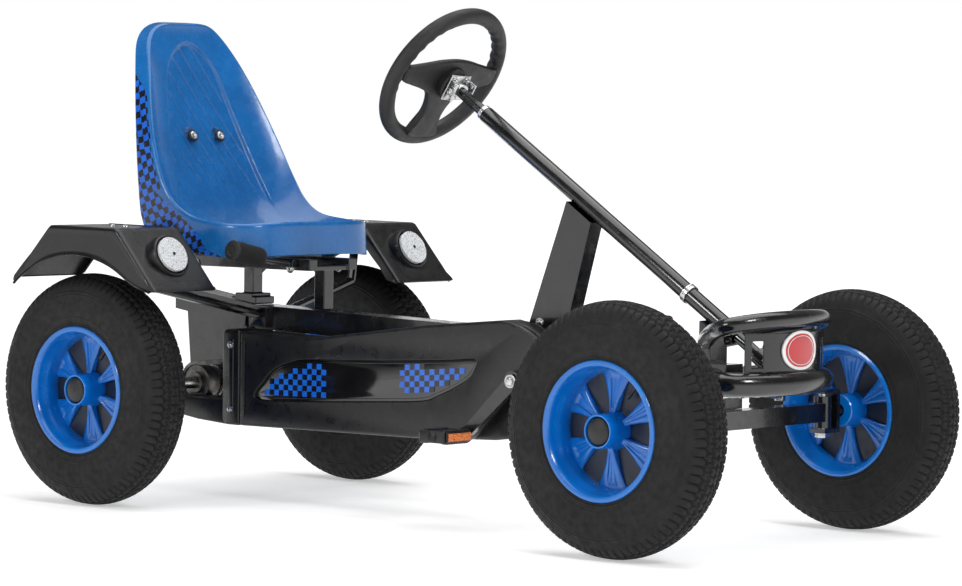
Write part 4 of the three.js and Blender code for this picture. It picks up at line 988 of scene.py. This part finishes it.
# ---- mudguards ----------------------------------------------------------------------------------------
REAR_X = (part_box("tyre_rear_right")[0].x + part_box("tyre_rear_right")[1].x) / 2 / MM
AXLE_Z = 199.0
ARCH = 232
GUARD_FROM, GUARD_TO = 232, 382  # how far out a mudguard starts and ends
TOP_LINE = [(-149, 388), (-148, 391), (-66, 476), (-61, 479.6), (-54, 480), (92, 478.2), (99, 478)]
TOP_LINE += [(105, 475), (192, 378.5), (194.5, 375)]


def mudguard_section():
    """Matching points along the guard's top line and along the arch below it."""
    top = np.array(TOP_LINE, float)
    length = np.concatenate([[0], np.cumsum(np.hypot(*np.diff(top, axis=0).T))])
    share = np.unique(np.concatenate([length, np.linspace(0, length[-1], 130)]))
    line = np.stack([np.interp(share, length, top[:, k]) for k in range(2)], -1)
    start, end = math.acos(-149 / ARCH), math.acos(148 / ARCH)
    t = (share / length[-1])[:, None]
    angles = start + (end - start) * t[:, 0]
    arch = np.stack([ARCH * np.cos(angles), AXLE_Z + ARCH * np.sin(angles)], -1)
    foot = smooth_step(0.9, 1, t[:, 0])
    arch[:, 0] += 36 * foot
    arch[:, 1] = arch[:, 1] * (1 - foot) + 375 * foot
    return line, arch


def mudguard(side_name, side):
    """Vacuum-formed guard: flat top, slanted ends, an outer wall down to a rolled arch lip, and a lamp boss."""
    line, arch = mudguard_section()
    arch[:, 1] = np.minimum(arch[:, 1], line[:, 1] - 2)
    fall = arch - line
    length = np.linalg.norm(fall, axis=1)[:, None]
    inner_lip = line + fall * np.minimum(1, 22 / np.maximum(length, 1))
    rows = [(inner_lip, GUARD_FROM + 1.5), (inner_lip * 0.35 + line * 0.65, GUARD_FROM)]

    def rounded(radius, least, angles, place):
        """Rows round the edge between the top and a side."""
        for a in np.radians(angles):
            drop = radius * (1 - math.sin(a))
            rows.append((line + fall * (drop / np.maximum(length, least)), place(radius * (1 - math.cos(a)))))

    rounded(5, 6, np.linspace(0, 90, 6), lambda gap: GUARD_FROM + gap)
    rows += [(line, y) for y in np.linspace(GUARD_FROM + 12, GUARD_TO - 12, 18)]
    rounded(7, 8, np.linspace(90, 0, 7), lambda gap: GUARD_TO - gap)
    rows += [(line + fall * t, GUARD_TO - 0.8 + 0.8 * t) for t in np.linspace(0.2, 0.93, 12)]
    for grow, y in ((0.97, GUARD_TO + 2.5), (1.0, GUARD_TO + 3), (1.02, GUARD_TO + 1), (1.0, GUARD_TO - 2.5)):
        rows.append((line + fall * grow, y))
    points = np.array([[(REAR_X + x, side * y, z) for x, z in edge] for edge, y in rows]) * MM
    skin = grid("skin", points, GUARD, angle=28)
    modifier = skin.modifiers.new("wall", "SOLIDIFY")
    modifier.thickness = 0.0028
    outward = skin.data.polygons[len(skin.data.polygons) // 2].normal.z > 0
    modifier.offset = -1 if outward else 1
    low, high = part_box(f"reflector_{side_name}")
    lamp = (low + high) / 2
    tilt = math.radians(25)
    axis = np.array((math.cos(tilt), 0, math.sin(tilt)))
    face = np.array(lamp) + axis * 0.003
    boss = [(0.030, -0.034), (0.041, -0.034), (0.0405, -0.016), (0.039, -0.008), (0.0375, -0.0045)]
    boss += [(0.0345, -0.0035), (0.0335, -0.005), (0.030, -0.006)]
    parts = [skin, lathe("boss", boss, face, axis, GUARD, 72, True)]
    for x in (18, 48):
        parts += hex_bolt("guard_bolt", ((REAR_X + x) * MM, side * 0.306, 0.4783), (0, 0, 1), 0.0052, 0.0036)
    fold = curve_through([(-50, 480), (0, 479.4), (92, 478.2)], 20)
    crease = [((REAR_X + x) * MM, side * (GUARD_FROM + 18) * MM, z * MM) for x, z in fold]
    parts.append(sweep("crease", crease, 0.0013, GUARD, 10))
    stand(f"mudguard_{side_name}", parts)
    lens(side_name, face, axis)


def lens(side_name, face, axis):
    """Round clear reflector: a field of little pyramids inside a smooth rim, with a dark fixing in the middle."""
    u, v, w = basis(axis)
    radius, pitch = 31.0, 2.4
    radii = np.linspace(3.2, 28.0, 60)
    turn = np.linspace(0, 2 * np.pi, 360, endpoint=False)
    rr, tt = np.meshgrid(radii, turn, indexing="ij")
    px, py = rr * np.cos(tt), rr * np.sin(tt)
    tooth = lambda t: np.abs((t / pitch) % 1 - 0.5) * 2
    bumps = 0.5 * (tooth(px * 0.866 + py * 0.5) + tooth(py) + tooth(px * 0.866 - py * 0.5))
    height = 1.0 + 0.5 * bumps + 1.2 * (1 - (rr / radius) ** 2)
    ring = lambda r, h: np.stack([r * np.cos(turn), r * np.sin(turn), np.full_like(turn, h)], -1)
    rows = [ring(2.6, 1.6), *[np.stack([px[i], py[i], height[i]], -1) for i in range(len(radii))]]
    rows += [ring(28.6, 1.9), ring(30.2, 1.7), ring(31, 0.8), ring(31, -4)]
    flat = np.array(rows)[::-1]
    points = np.array(face) + MM * (flat[..., :1] * u + flat[..., 1:2] * v + flat[..., 2:] * w)
    glass = grid("glass", points, CLEAR, False, True, True, 20)
    pin = [(0, 0.0045), (0.002, 0.0043), (0.0029, 0.0034), (0.0031, 0.001), (0, 0.001)]
    dot = lathe("dot", pin, face, axis, PLASTIC, 24)
    stand(f"reflector_{side_name}", [glass, dot])


for side_name, side in SIDES.items():
    mudguard(side_name, side)


# ---- bumper -------------------------------------------------------------------------------------------
BUMPER_HALF, BUMPER_NOSE = 119, 684
PLATE_CURVE = 198


def bumper_path(start, front, heights):
    half = [(*start, heights[0]), (575, 84, heights[1]), (628, BUMPER_HALF, heights[2]), (667, 80, heights[3])]
    path = [(x, -y, z) for x, y, z in half] + [(BUMPER_NOSE, 0, heights[4])] + half[::-1]
    smooth = curve_through(path, 160)
    return smooth[smooth[:, 0] > front] * MM


def bumper():
    low, high = bumper_path((528, 12), 545, [263] * 5), bumper_path((512, 20), 514, [322, 341, 353, 362, 365])
    for level, path, radius, sides in (("lower", low, 0.019, 36), ("upper", high, 0.0135, 32)):
        node = f"bumper_{level}_tube"
        fit(sweep(node + "_shape", path, radius, PAINT, sides), "frame", "frame_paint", node)
    polish("bumper_plate", 0.0009)


bumper()


def badge():
    """Plain oval badge that follows the plate: a red field inside a white border, with no mark on it."""
    low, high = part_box("badge")
    middle_z = (low.z + high.z) / 2
    half_z = (high.z - low.z) / 2
    reach = math.asin((high.y / MM) / (PLATE_CURVE + 4))
    turn = np.linspace(0, 2 * np.pi, 160, endpoint=False)

    def ring(size, rise):
        a = reach * 1.5 * size * np.sign(np.cos(turn)) * np.abs(np.cos(turn)) ** 0.9
        z = middle_z + half_z * size * np.sin(turn)
        r = (PLATE_CURVE + rise) * MM
        return np.stack([(BUMPER_NOSE - PLATE_CURVE) * MM + r * np.cos(a), r * np.sin(a), z], -1)

    border = [ring(s, h) for s, h in ((1, 0.5), (1, 2.6), (0.985, 3.3), (0.93, 3.5), (0.86, 3.5), (0.85, 2.9))]
    field = [ring(s, h) for s, h in ((0.85, 2.9), (0.84, 3.2), (0.78, 3.45), (0.5, 3.7), (0.2, 3.8), (0.02, 3.8))]
    rim = grid("border", np.array(border), WHITE, False, True, False, 30)
    middle = grid("field", np.array(field), RED, False, True, True, 30)
    line = [ring(s, h) for s, h in ((0.75, 3.5), (0.745, 3.85), (0.725, 3.85), (0.72, 3.5))]
    stripe = grid("stripe", np.array(line), WHITE, False, True, False, 30)
    stand("badge", [rim, middle, stripe])


badge()


# ---- cranks and pedals --------------------------------------------------------------------------------
def pedal(name, side):
    """Ribbed block with two treads, round the spindle, with an amber reflector at the front and at the back."""
    low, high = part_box(f"pedal_{name}")
    mid = (low + high) / 2
    half_y = (high.y - low.y) / 2
    parts = []

    def add(part, x, y, z, bevel):
        """A rounded block between two places on each axis."""
        parts.append(block(part, (x[0], y[0], z[0]), (x[1], y[1], z[1]), PLASTIC, bevel))

    add("core", (mid.x - 0.012, mid.x + 0.012), (low.y, high.y), (mid.z - 0.010, mid.z + 0.010), 0.004)
    for end in (low.y, high.y - 0.006):
        add("cheek", (low.x, high.x), (end, end + 0.006), (low.z + 0.001, high.z - 0.001), 0.002)
    for x in (low.x, high.x - 0.009):
        add("tread", (x, x + 0.009), (low.y + 0.001, high.y - 0.001), (low.z, high.z), 0.0025)
    proud = (low.z - 0.0008, high.z + 0.0008)
    for k in range(9):
        y = low.y + 0.009 + k * (2 * half_y - 0.018) / 8
        for x in (low.x, high.x - 0.010):
            add("rib", (x - 0.0004, x + 0.0104), (y - 0.0014, y + 0.0014), proud, 0.0008)
    for k in (0.33, 0.67):
        y = low.y + k * 2 * half_y
        span = (low.x + 0.004, high.x - 0.004)
        add("web", span, (y - 0.0015, y + 0.0015), (mid.z - 0.008, mid.z + 0.008), 0.0006)
    cap = [(0, 0), (0.009, 0), (0.0095, 0.001), (0.008, 0.0035), (0, 0.004)]
    outer = low.y if side < 0 else high.y
    parts.append(lathe("cap", cap, (mid.x, outer, mid.z), (0, side, 0), PLASTIC, 32))
    body = NODE_BODY[f"pedal_{name}"]
    stand(f"pedal_{name}", parts)
    for label, x, way in (("front", high.x, 1), ("rear", low.x, -1)):
        case = block(
            "case",
            (min(x, x + way * 0.004), low.y + 0.004, mid.z - 0.0085),
            (max(x, x + way * 0.004), high.y - 0.004, mid.z + 0.0085),
            PLASTIC,
            0.0015,
        )
        pane = amber_pane(x + way * 0.0042, way, low.y + 0.006, high.y - 0.006, mid.z - 0.0065, mid.z + 0.0065)
        fit(merged(f"pedal_reflector_{label}_{name}", [case, pane]), body, "amber_lens")


def amber_pane(x, way, y0, y1, z0, z1):
    """A flat reflector pane with small pyramids and a plain bar across its middle."""
    ys, zs = np.linspace(y0, y1, 78), np.linspace(z0, z1, 26)
    y, z = np.meshgrid(ys, zs)
    pitch = 0.0026
    tooth = lambda t: np.abs((t / pitch) % 1 - 0.5) * 2
    height = 0.0005 * np.minimum(tooth(y - y0), tooth(z - z0))
    middle = np.abs(y - (y0 + y1) / 2) < 0.006
    height = np.where(middle, 0.0006, height)
    points = np.stack([x + way * height, y, z], -1)
    pane = grid("pane", points, AMBER, angle=20)
    modifier = pane.modifiers.new("wall", "SOLIDIFY")
    modifier.thickness = 0.0008
    return pane


for name, side in SIDES.items():
    pedal(name, side)
    polish(f"crank_arm_{name}", 0.0022, 3)
polish("crank_axle", 0.001)


def crank_nut():
    low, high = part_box("crank_axle")
    middle = ((low.x + high.x) / 2, 0, (low.z + high.z) / 2)
    for y, way, name in ((low.y, -1, "right"), (high.y, 1, "left")):
        parts = hex_bolt("nut", (middle[0], y - way * 0.0005, middle[2]), (0, way, 0), 0.0075, 0.0045)
        fit(merged(f"crank_nut_{name}", parts), "crank", "zinc")


crank_nut()


# ---- seat lever ---------------------------------------------------------------------------------------
def lever_grip():
    """Round rubber grip: knurled in shallow diamonds, with a flat ribbed end."""
    low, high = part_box("seat_lever_grip")
    start, end = grip_ends(low, high)
    way = end - start
    u, v, w = basis(way)
    turn = np.linspace(0, 2 * np.pi, 240, endpoint=False)
    along = np.linspace(0, 1, 120)
    aa, tt = np.meshgrid(along, turn, indexing="ij")
    twist = tt * 14 / np.pi
    knurl = np.minimum(np.abs(((aa * 10 + twist) % 1) - 0.5), np.abs(((aa * 10 - twist) % 1) - 0.5))
    plain = smooth_step(0.04, 0.08, aa) * (1 - smooth_step(0.9, 0.95, aa))
    r = 0.0178 - 0.0014 * plain * (1 - smooth_step(0.05, 0.16, knurl))
    edge = np.minimum(1, np.minimum(aa, 1 - aa) / 0.03)
    r = r - 0.0025 * (1 - np.sqrt(1 - (1 - edge) ** 2))
    points = start + aa[..., None] * way + r[..., None] * (np.cos(tt)[..., None] * u + np.sin(tt)[..., None] * v)
    grip = grid("grip", points, GRIP, False, True, True, 50)
    rings = [(0, 0.001), (0.004, 0.0012), (0.0045, 0.0002), (0.008, 0.0002), (0.0085, 0.0012), (0.0118, 0.0012)]
    rings += [(0.0123, 0.0002), (0.015, -0.0004), (0, -0.0004)]
    cap = lathe("cap", rings, end, w, GRIP, 60)
    stand("seat_lever_grip", [grip, cap])
    polish("seat_lever", 0.0008)


def grip_ends(low, high):
    """The grip's end points: it leans down outwards, and its box is its length's and its disc's together."""
    radius = 0.018
    size = np.array(high - low)
    best = None
    for lean in np.linspace(0, math.radians(40), 400):
        length_y = size[1] - 2 * radius * math.sin(lean)
        length_z = size[2] - 2 * radius * math.cos(lean)
        miss = abs(length_z - length_y * math.tan(lean))
        if best is None or miss < best[0]:
            best = (miss, lean, length_y, length_z)
    _, lean, length_y, length_z = best
    mid = np.array(low + high) / 2
    mesh = frame["nodes"]["seat_lever_grip"].data
    outer = [v.co for v in mesh.vertices if v.co.y < low.y + size[1] * 0.4]
    falls = sum(v.z for v in outer) / len(outer) < mid[2]
    half = np.array((0, -length_y / 2, (-1 if falls else 1) * length_z / 2))
    return mid - half, mid + half


lever_grip()


# ---- frame, axles and running gear --------------------------------------------------------------------
PAIRED = ("knuckle", "kingpin", "tie_rod", "axle_bearing", "mudguard_support")
BEVELS = {
    "main_beam": 0.0022, "front_head": 0.0018, "column_strut": 0.0022, "front_axle": 0.0015, "drop_arm": 0.0015,
    "knuckle": 0.0014, "kingpin": 0.001, "tie_rod": 0.0008, "rear_axle": 0.001, "axle_bearing": 0.0012,
    "drive_hub": 0.0008, "chainring": 0.0006, "chain": 0.0008, "mudguard_support": 0.0012,
    "seat_frame": 0.0018, "seat_carriage": 0.0018,
}
for part, bevel in BEVELS.items():
    for node in (f"{part}_right", f"{part}_left") if part in PAIRED else (part,):
        polish(node, bevel)


def frame_fasteners():
    """Bolts that hold the seat frame, the column's foot, the beam's end and the axle brackets."""
    parts = []
    seat_low, seat_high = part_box("seat_frame")
    for x in (seat_low.x + 0.035, seat_high.x - 0.045):
        for side in (-1, 1):
            parts += hex_bolt("bolt", (x, side * 0.0605, 0.408), (0, side, 0), 0.0062, 0.005)
    for z in (0.245, 0.300):
        for side in (-1, 1):
            parts += hex_bolt("bolt", (0.500, side * 0.0222, z), (0, side, 0), 0.0065, 0.005)
    strut_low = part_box("column_strut")[0]
    for x in (strut_low.x + 0.028, strut_low.x + 0.075):
        parts += hex_bolt("bolt", (x, -0.0162, strut_low.z + 0.016), (0, -1, 0), 0.0055, 0.0045)
    fit(merged("frame_bolts", parts), "frame", "zinc")


frame_fasteners()


# ---- floor, light and finish --------------------------------------------------------------------------
def floor():
    """A wide pale floor."""
    n = Nodes("floor")
    away = n.put({0: n.place}, n.tree.nodes.new("ShaderNodeVectorMath"))
    away.operation = "LENGTH"
    n.put({
        "Base Color": n.ramp(n.noise(3, 4), (0.3, (0.88, 0.88, 0.88)), (0.7, (0.9, 0.9, 0.9))),
        "Roughness": n.spread(n.noise(8, 4), 0.5, 0.6),
        "Normal": n.bump(n.noise(300, 2), 0.00005),
        "Emission Color": (1, 1, 1, 1),
        "Emission Strength": n.spread(away.outputs["Value"], 0.42, 1.0, 1.5, 7.0),
    })
    u = np.linspace(-16, 16, 41)
    x, y = np.meshgrid(u, u, indexing="ij")
    ground = grid("floor", np.stack([x, y, 0 * x], -1), n.material, outward=False)
    if ground.data.polygons[0].normal.z < 0:
        ground.data.flip_normals()
    ground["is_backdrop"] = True


def area_light(name, place, target, size, power, height=None):
    data = bpy.data.lights.new(name, "AREA")
    data.shape = "RECTANGLE"
    data.size = size
    data.size_y = height or size
    data.energy = power
    light = placed(name, data)
    way = Vector(target) - Vector(place)
    light.matrix_world = Matrix.Translation(place) @ way.to_track_quat("-Z", "Y").to_matrix().to_4x4()


def studio():
    """A pale horizon that darkens upwards, with three large soft lights."""
    world = bpy.data.worlds.new("studio")
    bpy.context.scene.world = world
    world.use_nodes = True
    background = world.node_tree.nodes["Background"]
    background.inputs["Color"].default_value = (1, 1, 1, 1)
    links = world.node_tree.links
    place = world.node_tree.nodes.new("ShaderNodeTexCoord")
    parts = world.node_tree.nodes.new("ShaderNodeSeparateXYZ")
    fade = world.node_tree.nodes.new("ShaderNodeMapRange")
    for name, value in (("From Min", 0.06), ("From Max", 0.3), ("To Min", 1.0), ("To Max", 0.15)):
        fade.inputs[name].default_value = value
    links.new(place.outputs["Generated"], parts.inputs["Vector"])
    links.new(parts.outputs["Z"], fade.inputs["Value"])
    links.new(fade.outputs["Result"], background.inputs["Strength"])
    area_light("overhead", (0.0, 0.3, 4.2), (0, 0, 0), 5.0, 180)
    area_light("key", (3.4, -1.0, 2.6), (0.2, 0, 0.3), 0.8, 48)
    area_light("side", (-0.8, -4.2, 2.4), (-0.1, 0, 0.4), 0.9, 48)
    bpy.context.scene.view_settings.view_transform = "Standard"


floor()
studio()


def plain(bounds):
    return [list(corner) for corner in bounds]


{"cad": plain(CAD_BOX), "visual": plain(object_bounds())}
